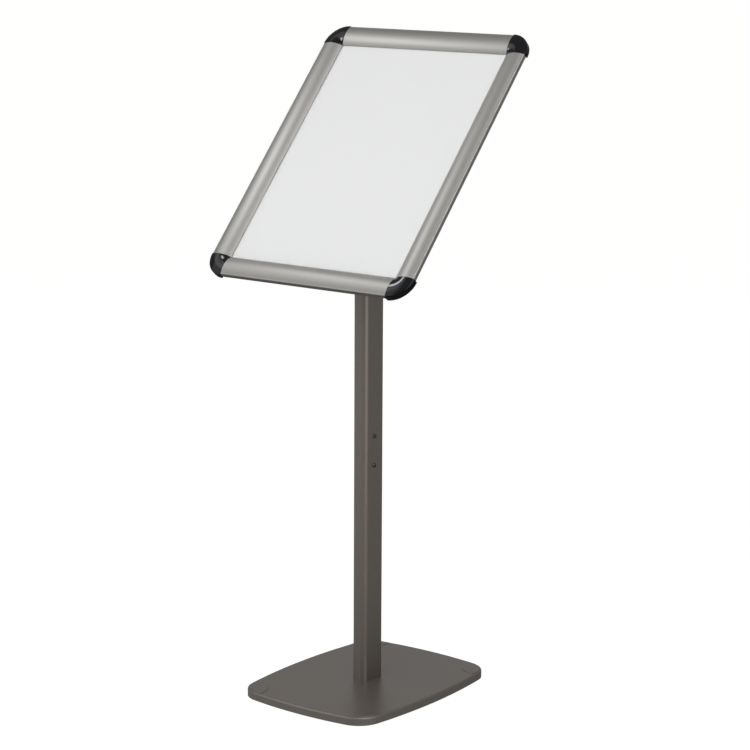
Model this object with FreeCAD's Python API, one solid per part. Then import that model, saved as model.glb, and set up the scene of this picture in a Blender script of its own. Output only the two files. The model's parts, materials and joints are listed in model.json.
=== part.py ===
import FreeCAD, Part
import math
import os

from FreeCAD import Placement, Rotation, Vector

# Floor-standing sign stand: a tilted snap frame on a two-piece post and a pressed base.
# Millimetres. Origin: centre of the base on the floor. +Z up, the sign faces -Y, +X to the right.

# ---- overall ----
FRAME_WIDTH = 412.0          # outside the snap rails, across
FRAME_HEIGHT = 513.0         # outside the snap rails, up the slope
FRAME_TILT = 41.5            # lean of the frame back from vertical, degrees
FRAME_CENTRE_Z = 896.0       # height of the centre of the frame's back plane
FRAME_LEAD = -2.0            # how far that centre stands in front of the post axis
POST_SETBACK = 1.5           # post axis behind the centre of the base

# ---- snap rail section: a = inwards from the outer edge, n = forwards of the back plane ----
RAIL_WIDTH = 37.0
RAIL_WALL = 1.3
RAIL_SIDE = 8.6              # height of the upright outer face
RAIL_CROWN = 13.0            # highest point of the domed face
RAIL_LIP = 6.2               # top of the inner edge
RAIL_EDGE_R = 1.6            # rounding between outer face and dome

# ---- hinge bead and its socket along each rail ----
HINGE_INSET = 2.5
HINGE_HEIGHT = 2.7
BEAD_R = 1.3
HINGE_CLEARANCE = 0.05       # radial running clearance of bead in socket
SOCKET_WALL = 1.0
SOCKET_TOP_ANGLE = 100.0     # where the socket stops above the bead
NECK_ANGLE = 120.0           # where the rail's neck leaves the bead

# ---- back profile ----
BACK_WALL = 1.2
RIB = 1.2                    # thickness of the panel stop
GUIDE_RIB = 1.0              # thickness of the guide beside the hinge
GUIDE_INSET = 5.4
LEDGE_SETBACK = 2.0          # the ledge under the panel stops this short of the window edge

# ---- sheets held in the frame ----
SHEET_OVERLAP = 9.0          # poster hidden under each rail
SHEET_GAP = 0.4
PANEL_THICK = 1.8
POSTER_THICK = 0.25
COVER_THICK = 0.5
LIP_GAP = 0.3                # rail lip above the cover sheet

# ---- corners ----
RAIL_END_GAP = 0.4           # rail end to corner cap
PROFILE_END_GAP = 0.2
CAP_PROUD_SIDE = 1.2         # cap outside the rails
CAP_PROUD_TOP = 0.6
CAP_WALL = 1.6
KEY_LENGTH = 45.0            # tongue inside a back profile
KEY_THICK = 3.0
KEY_SIDE_GAP = 0.8           # tongue to the ribs beside it
CAP_ROOF_GAP = 0.1           # cap above the key and the sheets
KEY_SCREW_INSET = 22.0       # screw from the end of the profile
KEY_SCREW_R = 1.5
KEY_SCREW_CLEARANCE = 0.1
KEY_SCREW_HEAD_R = 2.8
KEY_SCREW_HEAD = 1.5

# ---- leaf springs under the rails ----
LEAF_THICK = 0.5
LEAF_WIDTH = 16.0
LEAF_RISE = 5.0
LEAF_FROM_KEY = 30.0         # spring centre beyond the end of the corner key

# ---- cross bars and turn plate behind the frame ----
BAR_WIDTH = 26.0
BAR_THICK = 3.0
BAR_OFFSET = 42.0            # bar centre above and below the pivot
BAR_END_INSET = 6.0
RIVET_INSET = 14.0           # rivet from the frame's outer edge
RIVET_R = 2.0
RIVET_HEAD_R = 4.0
RIVET_HEAD = 1.2
RIVET_BULB = 1.5
PLATE_SIZE = 120.0
PLATE_THICK = 3.0
PLATE_CORNER_R = 12.0
PLATE_SCREW_X = 45.0
PLATE_SCREW_R = 2.5
PLATE_SCREW_HEAD_R = 4.5
PLATE_SCREW_HEAD = 2.2

# ---- pivot between head and frame ----
PIVOT_R = 5.0
PIVOT_CLEARANCE = 0.05
PIVOT_THREAD_R = 4.0
PIVOT_THREAD = 10.0          # thread length in the head
PIVOT_HEAD_R = 8.5
PIVOT_HEAD = 3.0
HEX_SOCKET_R = 3.4
HEX_DEPTH = 1.8
SPRING_WASHER_THICK = 0.5
WASHER_R = 24.0              # friction washer
WASHER_THICK = 1.5
STOP_PIN_R = 3.0
STOP_PIN_ARM = 32.0          # stop pin from the pivot
STOP_PIN_ANGLE = 135.0       # its direction from +X
STOP_GAP = 0.3
TURN_RANGE = 90.0            # portrait to landscape

# ---- head ----
HEAD_WIDTH = 64.0
HEAD_LENGTH = 96.0
HEAD_THICK = 4.0
HEAD_CORNER_R = 10.0
BOSS_R = 9.0
BOSS_LENGTH = 7.5
PLUG_DEPTH = 58.0            # plug below the lowest edge of the post's mitre
PLUG_WALL = 4.0
PLUG_POCKET = 40.0

# ---- post: a rectangle with a rounded front ----
POST_WIDTH = 28.0
POST_DEPTH = 48.0
POST_WALL = 2.0
POST_FRONT_R = 9.0
POST_REAR_R = 2.5
POST_JOINT_Z = 411.0         # where the two lengths meet
POST_SEAM = 0.3
PLUG_GAP = 0.2               # joiner, head plug and foot inside the post
JOINER_LENGTH = 160.0
JOINER_WALL = 3.0
SCREW_PITCH = 50.0
SCREW_R = 2.4
SCREW_HEAD_R = 4.0
SCREW_HEAD = 2.2
SCREW_LENGTH = 9.0
SCREW_SOCKET_R = 1.5
HEAD_SCREW_PITCH = 26.0

# ---- base ----
BASE_WIDTH = 288.0
BASE_DEPTH = 370.0
BASE_SIDE_R = 985.0          # bow of the long left and right sides
BASE_END_R = 670.0           # bow of the front and back
BASE_CORNER_R = 44.0
BASE_TOP = 15.0
COVER_SKIN = 2.0
COVER_EDGE_R = 3.0
SKIRT_CLEARANCE = 1.5        # skirt above the floor
PAD_R = 42.0                 # raised round pads at the corners
PAD_RISE = 0.8
PAD_X = 17.0                 # pad centre in from the side
PAD_Y = 15.0                 # pad centre in from the end
FOOT_R = 15.0
FOOT_THICK = 3.0
FOOT_X = 40.0
FOOT_Y = 42.0
BALLAST_THICK = 6.0
BALLAST_GAP = 1.0            # ballast inside the skirt
SPACER_WIDTH = 90.0
SPACER_DEPTH = 110.0
SPACER_CORNER_R = 8.0
FOOT_BLOCK_HEIGHT = 50.0
BOLT_R = 4.0
BOLT_PITCH = 24.0
BOLT_GAP = 0.5               # radial, in the plates
BOLT_HEAD_R = 6.5
BOLT_HEAD = 3.0
BOLT_RECESS_R = 11.0
BOLT_WASHER_R = 9.5
BOLT_WASHER = 1.2
BOLT_REACH = 25.0            # thread inside the foot block

# ---- derived: frame ----
TILT = math.radians(FRAME_TILT)
LEDGE_A = RAIL_WIDTH - LEDGE_SETBACK
STOP_A = RAIL_WIDTH - SHEET_OVERLAP - SHEET_GAP - RIB
PANEL_N = BACK_WALL
POSTER_N = PANEL_N + PANEL_THICK
COVER_N = POSTER_N + POSTER_THICK
SHEETS_N = COVER_N + COVER_THICK
LIP_N = SHEETS_N + LIP_GAP
STOP_N = SHEETS_N + LIP_GAP
SOCKET_R = BEAD_R + HINGE_CLEARANCE
KEY_A0 = GUIDE_INSET + GUIDE_RIB + KEY_SIDE_GAP
KEY_A1 = STOP_A - KEY_SIDE_GAP
KEY_N0 = BACK_WALL
KEY_N1 = KEY_N0 + KEY_THICK
KEY_R = RAIL_WIDTH + CAP_PROUD_SIDE - CAP_WALL
SHEET_W = FRAME_WIDTH - 2 * (RAIL_WIDTH - SHEET_OVERLAP)
SHEET_H = FRAME_HEIGHT - 2 * (RAIL_WIDTH - SHEET_OVERLAP)
BAR_N = -BAR_THICK
PLATE_N = BAR_N - PLATE_THICK
WASHER_N = PLATE_N - WASHER_THICK
HEAD_N = WASHER_N - HEAD_THICK

# ---- derived: post and base ----
POST_Y = POST_SETBACK
FRAME_Y = POST_Y - FRAME_LEAD
BALLAST_Z = FOOT_THICK
SPACER_Z = BALLAST_Z + BALLAST_THICK
SPACER_TOP = BASE_TOP - COVER_SKIN
JOINT_TOP = POST_JOINT_Z + POST_SEAM

SIDES = {
    "top": (FRAME_WIDTH, FRAME_HEIGHT / 2, 180),
    "bottom": (FRAME_WIDTH, FRAME_HEIGHT / 2, 0),
    "left": (FRAME_HEIGHT, FRAME_WIDTH / 2, 270),
    "right": (FRAME_HEIGHT, FRAME_WIDTH / 2, 90),
}
CORNERS = {"bl": 0, "br": 90, "tr": 180, "tl": 270}


# ---------------------------------------------------------------- small helpers
def box(x0, x1, y0, y1, z0, z1):
    return Part.makeBox(x1 - x0, y1 - y0, z1 - z0, Vector(x0, y0, z0))


def disc(radius, x, y, z0, z1):
    return Part.makeCylinder(radius, z1 - z0, Vector(x, y, z0))


def ring(outer, inner, x, y, z0, z1):
    return disc(outer, x, y, z0, z1).cut(disc(inner, x, y, z0, z1))


def hexagon(radius, x, y, z0, z1):
    turns = [math.radians(60 * i) for i in range(7)]
    points = [Vector(x + radius * math.cos(t), y + radius * math.sin(t), z0) for t in turns]
    return Part.Face(Part.makePolygon(points)).extrude(Vector(0, 0, z1 - z0))


def fused(shapes):
    whole = shapes[0]
    for shape in shapes[1:]:
        whole = whole.fuse(shape)
    return whole.removeSplitter()


def cut_all(shape, tools):
    for tool in tools:
        shape = shape.cut(tool)
    return shape


def line(p, q):
    return Part.LineSegment(p, q).toShape()


def arc(p, q, r):
    return Part.Arc(p, q, r).toShape()


def extruded(edges, z0, z1):
    face = Part.Face(Part.Wire(edges))
    solid = face.extrude(Vector(0, 0, z1 - z0))
    solid.translate(Vector(0, 0, z0))
    return solid


def rounded_section(width, depth, front_r, rear_r):
    """Closed outline centred on the origin, front at -Y, with its own front and rear radii."""
    x = width / 2
    y = depth / 2
    corners = [(1, -1, front_r), (1, 1, rear_r), (-1, 1, rear_r), (-1, -1, front_r)]
    starts = [270, 0, 90, 180]
    points = []
    for (sx, sy, r), start in zip(corners, starts):
        centre = Vector(sx * (x - r), sy * (y - r), 0)
        turn = [math.radians(start + a) for a in (0, 45, 90)]
        points.append([centre + Vector(r * math.cos(t), r * math.sin(t), 0) for t in turn])
    edges = []
    for i, (a, b, c) in enumerate(points):
        edges.append(arc(a, b, c))
        edges.append(line(c, points[(i + 1) % 4][0]))
    return edges


def rounded_block(width, depth, radius, x, y, z0, z1):
    block = extruded(rounded_section(width, depth, radius, radius), z0, z1)
    block.translate(Vector(x, y, 0))
    return block


def save(name, shapes):
    """Write one node: one solid, or a group of separate like solids."""
    shapes = shapes if isinstance(shapes, list) else [shapes]
    solids = [s for shape in shapes for s in shape.Solids]
    shape = solids[0] if len(solids) == 1 else Part.makeCompound(solids)
    shape.exportStep("parts/" + name + ".step")


# ---------------------------------------------------------------- placing in the frame
FRAME_PLACE = Placement(Vector(0, FRAME_Y, FRAME_CENTRE_Z),
                        Rotation(Vector(1, 0, 0), 90 - FRAME_TILT))


def on_frame(shape):
    """From frame coordinates (x across, y up the slope, z towards the viewer) to the stand."""
    placed = shape.copy()
    placed.Placement = FRAME_PLACE.multiply(placed.Placement)
    return placed


def along_side(section_edges, length, side):
    """Extrude a section drawn as (a, n) along one side of the frame, centred on it."""
    distance, turn = SIDES[side][1:]
    bar = Part.Face(Part.Wire(section_edges)).extrude(Vector(length, 0, 0))
    bar.translate(Vector(-length / 2, -distance, 0))
    bar.rotate(Vector(0, 0, 0), Vector(0, 0, 1), turn)
    return bar


def on_side(shape, side):
    """A shape made on the bottom side, moved to any side; y = 0 is the outer edge."""
    distance, turn = SIDES[side][1:]
    moved = shape.copy()
    moved.translate(Vector(0, -distance, 0))
    moved.rotate(Vector(0, 0, 0), Vector(0, 0, 1), turn)
    return moved


def on_corner(shape, corner):
    """A shape made with the frame's outer corner at 0, 0 and the frame towards +X, +Y."""
    turn = CORNERS[corner]
    across = turn in (90, 270)
    half_x = (FRAME_HEIGHT if across else FRAME_WIDTH) / 2
    half_y = (FRAME_WIDTH if across else FRAME_HEIGHT) / 2
    moved = shape.copy()
    moved.translate(Vector(-half_x, -half_y, 0))
    moved.rotate(Vector(0, 0, 0), Vector(0, 0, 1), turn)
    return moved


def side_length(side):
    return SIDES[side][0] - 2 * RAIL_WIDTH


def an(a, n):
    """A point of a section at a from the outer edge and n in front of the back plane."""
    return Vector(0, a, n)


def hinge_point(radius, angle):
    t = math.radians(angle)
    return an(HINGE_INSET + radius * math.cos(t), HINGE_HEIGHT + radius * math.sin(t))


def dome(outset, rise):
    """The domed face's arc: start over the outer edge, top, end at the inner edge."""
    start = an(RAIL_EDGE_R - outset, RAIL_SIDE + RAIL_EDGE_R * 0.75 + rise)
    top = an(RAIL_WIDTH * 0.47, RAIL_CROWN + rise)
    end = an(RAIL_WIDTH - 0.8, RAIL_LIP + rise)
    return start, top, end


# ---------------------------------------------------------------- snap rails
def rail_section():
    start, top, end = dome(0, 0)
    foot = an(0, HINGE_HEIGHT)
    shoulder = an(0, RAIL_SIDE)
    edge = an(RAIL_EDGE_R * 0.25, RAIL_SIDE + RAIL_EDGE_R * 0.55)
    nose = an(RAIL_WIDTH, RAIL_LIP - 1.2)
    lip = an(RAIL_WIDTH - 0.5, LIP_N)
    lip_in = an(RAIL_WIDTH - RAIL_WALL - 0.2, LIP_N)
    in_end = an(RAIL_WIDTH - RAIL_WALL - 0.6, RAIL_LIP - RAIL_WALL - 0.2)
    in_top = an(RAIL_WIDTH * 0.47, RAIL_CROWN - RAIL_WALL)
    in_start = an(RAIL_WALL + 0.7, RAIL_SIDE + RAIL_EDGE_R * 0.75 - RAIL_WALL)
    in_wall = an(RAIL_WALL, RAIL_SIDE - 1.0)
    in_foot = an(RAIL_WALL, HINGE_HEIGHT + BEAD_R * 1.9)
    neck = hinge_point(BEAD_R, NECK_ANGLE)
    return [
        line(foot, shoulder), arc(shoulder, edge, start), arc(start, top, end),
        line(end, nose), line(nose, lip), line(lip, lip_in), line(lip_in, in_end),
        arc(in_end, in_top, in_start), line(in_start, in_wall), line(in_wall, in_foot),
        line(in_foot, neck), arc(neck, hinge_point(BEAD_R, 0), hinge_point(BEAD_R, 240)),
        arc(hinge_point(BEAD_R, 240), hinge_point(BEAD_R, 210), hinge_point(BEAD_R, 180)),
        line(hinge_point(BEAD_R, 180), foot),
    ]


def snap_rail(side):
    return along_side(rail_section(), side_length(side) - 2 * RAIL_END_GAP, side)


# ---------------------------------------------------------------- back profiles
def back_section():
    outer_r = SOCKET_R + SOCKET_WALL
    under = HINGE_HEIGHT - SOCKET_R
    top_in = hinge_point(SOCKET_R, SOCKET_TOP_ANGLE)
    top_out = hinge_point(outer_r, SOCKET_TOP_ANGLE)
    meet = math.degrees(math.asin((BACK_WALL - HINGE_HEIGHT) / outer_r))
    guide_n = HINGE_HEIGHT + SOCKET_R
    points = [
        hinge_point(outer_r, meet), an(GUIDE_INSET, BACK_WALL), an(GUIDE_INSET, guide_n),
        an(GUIDE_INSET + GUIDE_RIB, guide_n), an(GUIDE_INSET + GUIDE_RIB, BACK_WALL),
        an(STOP_A, BACK_WALL), an(STOP_A, STOP_N), an(STOP_A + RIB, STOP_N),
        an(STOP_A + RIB, BACK_WALL), an(LEDGE_A, BACK_WALL), an(LEDGE_A, 0),
        an(HINGE_INSET, 0), an(HINGE_INSET, under),
    ]
    edges = [line(p, q) for p, q in zip(points, points[1:])]
    edges.append(arc(points[-1], hinge_point(SOCKET_R, 0), top_in))
    edges.append(line(top_in, top_out))
    edges.append(arc(top_out, hinge_point(outer_r, 30), points[0]))
    return edges


def key_screw_spots():
    """Screw centres on a corner's two tongues, from the outer corner."""
    middle = (KEY_A0 + KEY_A1) / 2
    along = RAIL_WIDTH + KEY_SCREW_INSET
    return [(along, middle), (middle, along)]


def key_screw_holes(radius, n0, n1):
    return [disc(radius, x, y, n0, n1) for x, y in key_screw_spots()]


def rivet_spots():
    x = FRAME_WIDTH / 2 - RIVET_INSET
    return [(sx * x, sy * BAR_OFFSET) for sx in (-1, 1) for sy in (-1, 1)]


def back_profile(side):
    profile = along_side(back_section(), side_length(side) - 2 * PROFILE_END_GAP, side)
    for corner in CORNERS:
        holes = key_screw_holes(KEY_SCREW_R + KEY_SCREW_CLEARANCE, -1, BACK_WALL + 1)
        profile = cut_all(profile, [on_corner(hole, corner) for hole in holes])
    if side in ("left", "right"):
        profile = cut_all(profile, [disc(RIVET_R, x, y, -1, BACK_WALL + 1) for x, y in rivet_spots()])
    return profile


# ---------------------------------------------------------------- corners
def corner_key():
    w = RAIL_WIDTH
    reach = w + PROFILE_END_GAP + KEY_LENGTH
    quarter = disc(KEY_R, w, w, 0, KEY_N1).common(box(0, w, 0, w, 0, KEY_N1))
    tongues = [box(w / 2, reach, KEY_A0, KEY_A1, KEY_N0, KEY_N1),
               box(KEY_A0, KEY_A1, w / 2, reach, KEY_N0, KEY_N1)]
    key = fused([quarter] + tongues)
    seat = STOP_A + RIB
    key = key.cut(box(seat, reach + 1, seat, reach + 1, PANEL_N, KEY_N1 + 1))
    return cut_all(key, key_screw_holes(KEY_SCREW_R, 0, KEY_N1 + 1))


def corner_screws():
    screws = []
    for corner in CORNERS:
        for x, y in key_screw_spots():
            head = disc(KEY_SCREW_HEAD_R, x, y, -KEY_SCREW_HEAD, 0)
            edge = [e for e in head.Edges if e.BoundBox.ZMax < -KEY_SCREW_HEAD + 0.01]
            head = head.makeFillet(KEY_SCREW_HEAD * 0.5, edge)
            screw = head.fuse(disc(KEY_SCREW_R, x, y, 0, KEY_N1))
            recess = hexagon(KEY_SCREW_R * 0.8, x, y, -KEY_SCREW_HEAD - 1, -KEY_SCREW_HEAD * 0.4)
            screws.append(on_corner(screw.cut(recess), corner))
    return screws


def turned_quarter(points, arcs):
    """Turn a section about the window's corner through the quarter that fills the corner."""
    edges = []
    for i, p in enumerate(points):
        q = points[(i + 1) % len(points)]
        edges.append(arc(p, arcs[i], q) if i in arcs else line(p, q))
    face = Part.Face(Part.Wire(edges))
    face.translate(Vector(RAIL_WIDTH, 0, 0))
    axis = Vector(RAIL_WIDTH, RAIL_WIDTH, 0)
    return face.revolve(axis, Vector(0, 0, -1), 90)


def corner_cap():
    start, top, end = dome(CAP_PROUD_SIDE, CAP_PROUD_TOP)
    side = -CAP_PROUD_SIDE
    shoulder = an(side, RAIL_SIDE)
    edge = an(side + RAIL_EDGE_R * 0.25, RAIL_SIDE + RAIL_EDGE_R * 0.62)
    middle = an(RAIL_WIDTH, RAIL_LIP + CAP_PROUD_TOP - 0.1)
    outer = [an(side, 0), shoulder, start, end, middle, an(RAIL_WIDTH, 0)]
    shell = turned_quarter(outer, {1: edge, 2: top})
    roof = KEY_N1 + CAP_ROOF_GAP
    inner_side = side + CAP_WALL
    inner = [an(inner_side, -1), an(inner_side, RAIL_SIDE - 1.0), an(RAIL_EDGE_R + 0.8, RAIL_SIDE),
             an(RAIL_WIDTH * 0.85, RAIL_LIP + 0.6), an(RAIL_WIDTH, roof), an(RAIL_WIDTH, -1)]
    hollow = turned_quarter(inner, {2: an(RAIL_WIDTH * 0.47, RAIL_CROWN - CAP_WALL + 0.4)})
    return shell.cut(hollow)


# ---------------------------------------------------------------- leaf springs
def leaf_spring():
    """A bowed strip lying across the channel of a back profile, on the bottom side at x = 0."""
    a0 = KEY_A0
    a1 = KEY_A1
    low = BACK_WALL
    rise = low + LEAF_RISE
    middle = (a0 + a1) / 2
    section = [
        arc(an(a0, low), an(middle, rise), an(a1, low)),
        line(an(a1, low), an(a1, low + LEAF_THICK)),
        arc(an(a1, low + LEAF_THICK), an(middle, rise + LEAF_THICK), an(a0, low + LEAF_THICK)),
        line(an(a0, low + LEAF_THICK), an(a0, low)),
    ]
    leaf = Part.Face(Part.Wire(section)).extrude(Vector(LEAF_WIDTH, 0, 0))
    leaf.translate(Vector(-LEAF_WIDTH / 2, 0, 0))
    return leaf


def rail_springs(side):
    out = side_length(side) / 2 - KEY_LENGTH - LEAF_FROM_KEY
    springs = []
    for sign in (-1, 1):
        leaf = leaf_spring()
        leaf.translate(Vector(sign * out, 0, 0))
        springs.append(on_side(leaf, side))
    return springs


# ---------------------------------------------------------------- behind the frame
def cross_bars():
    x = FRAME_WIDTH / 2 - BAR_END_INSET
    bars = []
    for sign in (-1, 1):
        y = sign * BAR_OFFSET
        bar = rounded_block(2 * x, BAR_WIDTH, 3.0, 0, y, BAR_N, 0)
        holes = [disc(RIVET_R, rx, ry, BAR_N - 1, 1) for rx, ry in rivet_spots()]
        holes += [disc(PLATE_SCREW_R, px, py, BAR_N - 1, 1) for px, py in plate_screw_spots()]
        bars.append(cut_all(bar, holes))
    return bars


def plate_screw_spots():
    return [(sx * PLATE_SCREW_X, sy * BAR_OFFSET) for sx in (-1, 1) for sy in (-1, 1)]


def bar_rivets():
    rivets = []
    for x, y in rivet_spots():
        head = disc(RIVET_HEAD_R, x, y, BAR_N - RIVET_HEAD, BAR_N)
        edge = [e for e in head.Edges if e.BoundBox.ZMax < BAR_N - RIVET_HEAD + 0.01]
        head = head.makeFillet(RIVET_HEAD * 0.6, edge)
        shank = disc(RIVET_R, x, y, BAR_N, BACK_WALL)
        bulb = disc(RIVET_R * 1.4, x, y, BACK_WALL, BACK_WALL + RIVET_BULB)
        rivets.append(fused([head, shank, bulb]))
    return rivets


def arc_slot(arm, half_width, start, end, n0, n1):
    """A slot along an arc about the pivot, with round ends."""
    spread = math.radians(end - start)
    first = math.radians(start)
    path = [Vector(arm * math.cos(first + spread * f), arm * math.sin(first + spread * f), 0)
            for f in (0, 0.5, 1)]
    band = ring(arm + half_width, arm - half_width, 0, 0, n0, n1)
    far = 4 * arm
    edge = [Vector(far * math.cos(first + spread * f), far * math.sin(first + spread * f), n0)
            for f in (0, 0.5, 1)]
    wedge = Part.Face(Part.makePolygon([Vector(0, 0, n0)] + edge + [Vector(0, 0, n0)]))
    body = band.common(wedge.extrude(Vector(0, 0, n1 - n0)))
    ends = [disc(half_width, p.x, p.y, n0, n1) for p in (path[0], path[2])]
    return fused([body] + ends)


def turn_plate():
    plate = rounded_block(PLATE_SIZE, PLATE_SIZE, PLATE_CORNER_R, 0, 0, PLATE_N, BAR_N)
    holes = [disc(PLATE_SCREW_R, x, y, PLATE_N - 1, BAR_N + 1) for x, y in plate_screw_spots()]
    holes.append(disc(PIVOT_R + PIVOT_CLEARANCE, 0, 0, PLATE_N - 1, BAR_N + 1))
    slack = math.degrees(STOP_GAP / STOP_PIN_ARM)
    holes.append(arc_slot(STOP_PIN_ARM, STOP_PIN_R + STOP_GAP, STOP_PIN_ANGLE - TURN_RANGE - slack,
                          STOP_PIN_ANGLE + slack, PLATE_N - 1, BAR_N + 1))
    return cut_all(plate, holes)


def plate_screws():
    screws = []
    for x, y in plate_screw_spots():
        head = disc(PLATE_SCREW_HEAD_R, x, y, PLATE_N - PLATE_SCREW_HEAD, PLATE_N)
        edge = [e for e in head.Edges if e.BoundBox.ZMax < PLATE_N - PLATE_SCREW_HEAD + 0.01]
        head = head.makeFillet(PLATE_SCREW_HEAD * 0.6, edge)
        recess = hexagon(PLATE_SCREW_R * 0.6, x, y, PLATE_N - PLATE_SCREW_HEAD - 1, PLATE_N - 1.0)
        screws.append(head.fuse(disc(PLATE_SCREW_R, x, y, PLATE_N, 0)).cut(recess))
    return screws


def pivot_bolt():
    seat = BAR_N + SPRING_WASHER_THICK
    head = disc(PIVOT_HEAD_R, 0, 0, seat, seat + PIVOT_HEAD)
    edge = [e for e in head.Edges if e.BoundBox.ZMin > seat + PIVOT_HEAD - 0.01]
    head = head.makeFillet(0.8, edge)
    shank = disc(PIVOT_R, 0, 0, WASHER_N, seat)
    thread = disc(PIVOT_THREAD_R, 0, 0, WASHER_N - PIVOT_THREAD, WASHER_N)
    recess = hexagon(HEX_SOCKET_R, 0, 0, seat + PIVOT_HEAD - HEX_DEPTH, seat + PIVOT_HEAD + 1)
    return fused([head, shank, thread]).cut(recess)


def stop_pin_at():
    t = math.radians(STOP_PIN_ANGLE)
    return STOP_PIN_ARM * math.cos(t), STOP_PIN_ARM * math.sin(t)


# ---------------------------------------------------------------- head and post
def mitre_space():
    """Everything in front of the plane that the head's face and the post's mitre share."""
    far = 2 * (FRAME_HEIGHT + FRAME_CENTRE_Z)
    return on_frame(box(-far, far, -far, far, HEAD_N, far))


def post_section(inset):
    width = POST_WIDTH - 2 * inset
    depth = POST_DEPTH - 2 * inset
    rear = max(POST_REAR_R - inset, 0.5)
    return rounded_section(width, depth, POST_FRONT_R - inset, rear)


def post_solid(inset, z0, z1):
    solid = extruded(post_section(inset), z0, z1)
    solid.translate(Vector(0, POST_Y, 0))
    return solid


def mitre_z(y):
    """Height of the mitre plane over a point y of the stand."""
    return FRAME_CENTRE_Z + (HEAD_N + math.cos(TILT) * (y - FRAME_Y)) / math.sin(TILT)


PLUG_Z = mitre_z(POST_Y - POST_DEPTH / 2) - PLUG_DEPTH
MITRE_TOP = mitre_z(POST_Y + POST_DEPTH / 2)


def cross_screw(radius, head_radius, head, length, socket_r):
    """A button screw along +X with its head's underside at x = 0."""
    shank = Part.makeCylinder(radius, length, Vector(-length, 0, 0), Vector(1, 0, 0))
    cap = Part.makeCylinder(head_radius, head, Vector(0, 0, 0), Vector(1, 0, 0))
    edge = [e for e in cap.Edges if e.BoundBox.XMin > head - 0.01]
    cap = cap.makeFillet(head * 0.7, edge)
    recess = hexagon(socket_r, 0, 0, head - head * 0.6, head + 1)
    recess.rotate(Vector(0, 0, 0), Vector(0, 1, 0), 90)
    return shank.fuse(cap).cut(recess)


def side_screw_spots():
    return [POST_JOINT_Z + sign * SCREW_PITCH / 2 for sign in (-1, 1)]


def head_screw_spots():
    middle = PLUG_Z + PLUG_DEPTH / 2
    return [middle + sign * HEAD_SCREW_PITCH / 2 for sign in (-1, 1)]


def side_hole(z):
    return Part.makeCylinder(SCREW_R, POST_WIDTH, Vector(0, POST_Y, z), Vector(1, 0, 0))


def rear_hole(z):
    return Part.makeCylinder(SCREW_R, POST_DEPTH, Vector(0, POST_Y, z), Vector(0, 1, 0))


def joiner_screws():
    screws = []
    for z in side_screw_spots():
        screw = cross_screw(SCREW_R, SCREW_HEAD_R, SCREW_HEAD, SCREW_LENGTH, SCREW_SOCKET_R)
        screw.translate(Vector(POST_WIDTH / 2, POST_Y, z))
        screws.append(screw)
    return screws


def head_screws():
    screws = []
    for z in head_screw_spots():
        screw = cross_screw(SCREW_R, SCREW_HEAD_R, SCREW_HEAD, SCREW_LENGTH, SCREW_SOCKET_R)
        screw.rotate(Vector(0, 0, 0), Vector(0, 0, 1), 90)
        screw.translate(Vector(0, POST_Y + POST_DEPTH / 2, z))
        screws.append(screw)
    return screws


def post_lower():
    tube = post_solid(0, BASE_TOP, POST_JOINT_Z).cut(post_solid(POST_WALL, BASE_TOP, POST_JOINT_Z))
    return cut_all(tube, [side_hole(z) for z in side_screw_spots()])


def post_upper():
    tube = post_solid(0, JOINT_TOP, MITRE_TOP).cut(post_solid(POST_WALL, JOINT_TOP, MITRE_TOP))
    tube = tube.cut(mitre_space())
    tube = cut_all(tube, [side_hole(z) for z in side_screw_spots()])
    return cut_all(tube, [rear_hole(z) for z in head_screw_spots()])


def post_joiner():
    inset = POST_WALL + PLUG_GAP
    z0 = POST_JOINT_Z - JOINER_LENGTH / 2
    z1 = POST_JOINT_Z + JOINER_LENGTH / 2
    tube = post_solid(inset, z0, z1).cut(post_solid(inset + JOINER_WALL, z0, z1))
    return cut_all(tube, [side_hole(z) for z in side_screw_spots()])


def head_casting():
    inset = POST_WALL + PLUG_GAP
    plug = post_solid(inset, PLUG_Z, MITRE_TOP)
    pocket = post_solid(inset + PLUG_WALL, PLUG_Z, PLUG_Z + PLUG_POCKET)
    plug = plug.cut(pocket).cut(mitre_space())
    face = on_frame(rounded_block(HEAD_WIDTH, HEAD_LENGTH, HEAD_CORNER_R, 0, 0, HEAD_N, WASHER_N))
    boss = on_frame(disc(BOSS_R, 0, 0, HEAD_N - BOSS_LENGTH, HEAD_N))
    boss = boss.common(post_solid(inset, PLUG_Z, MITRE_TOP))
    pin_x, pin_y = stop_pin_at()
    holes = [on_frame(disc(PIVOT_THREAD_R, 0, 0, WASHER_N - PIVOT_THREAD, WASHER_N + 1)),
             on_frame(disc(STOP_PIN_R, pin_x, pin_y, HEAD_N - 1, WASHER_N + 1))]
    holes += [rear_hole(z) for z in head_screw_spots()]
    return cut_all(fused([plug, face, boss]), holes)


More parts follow.
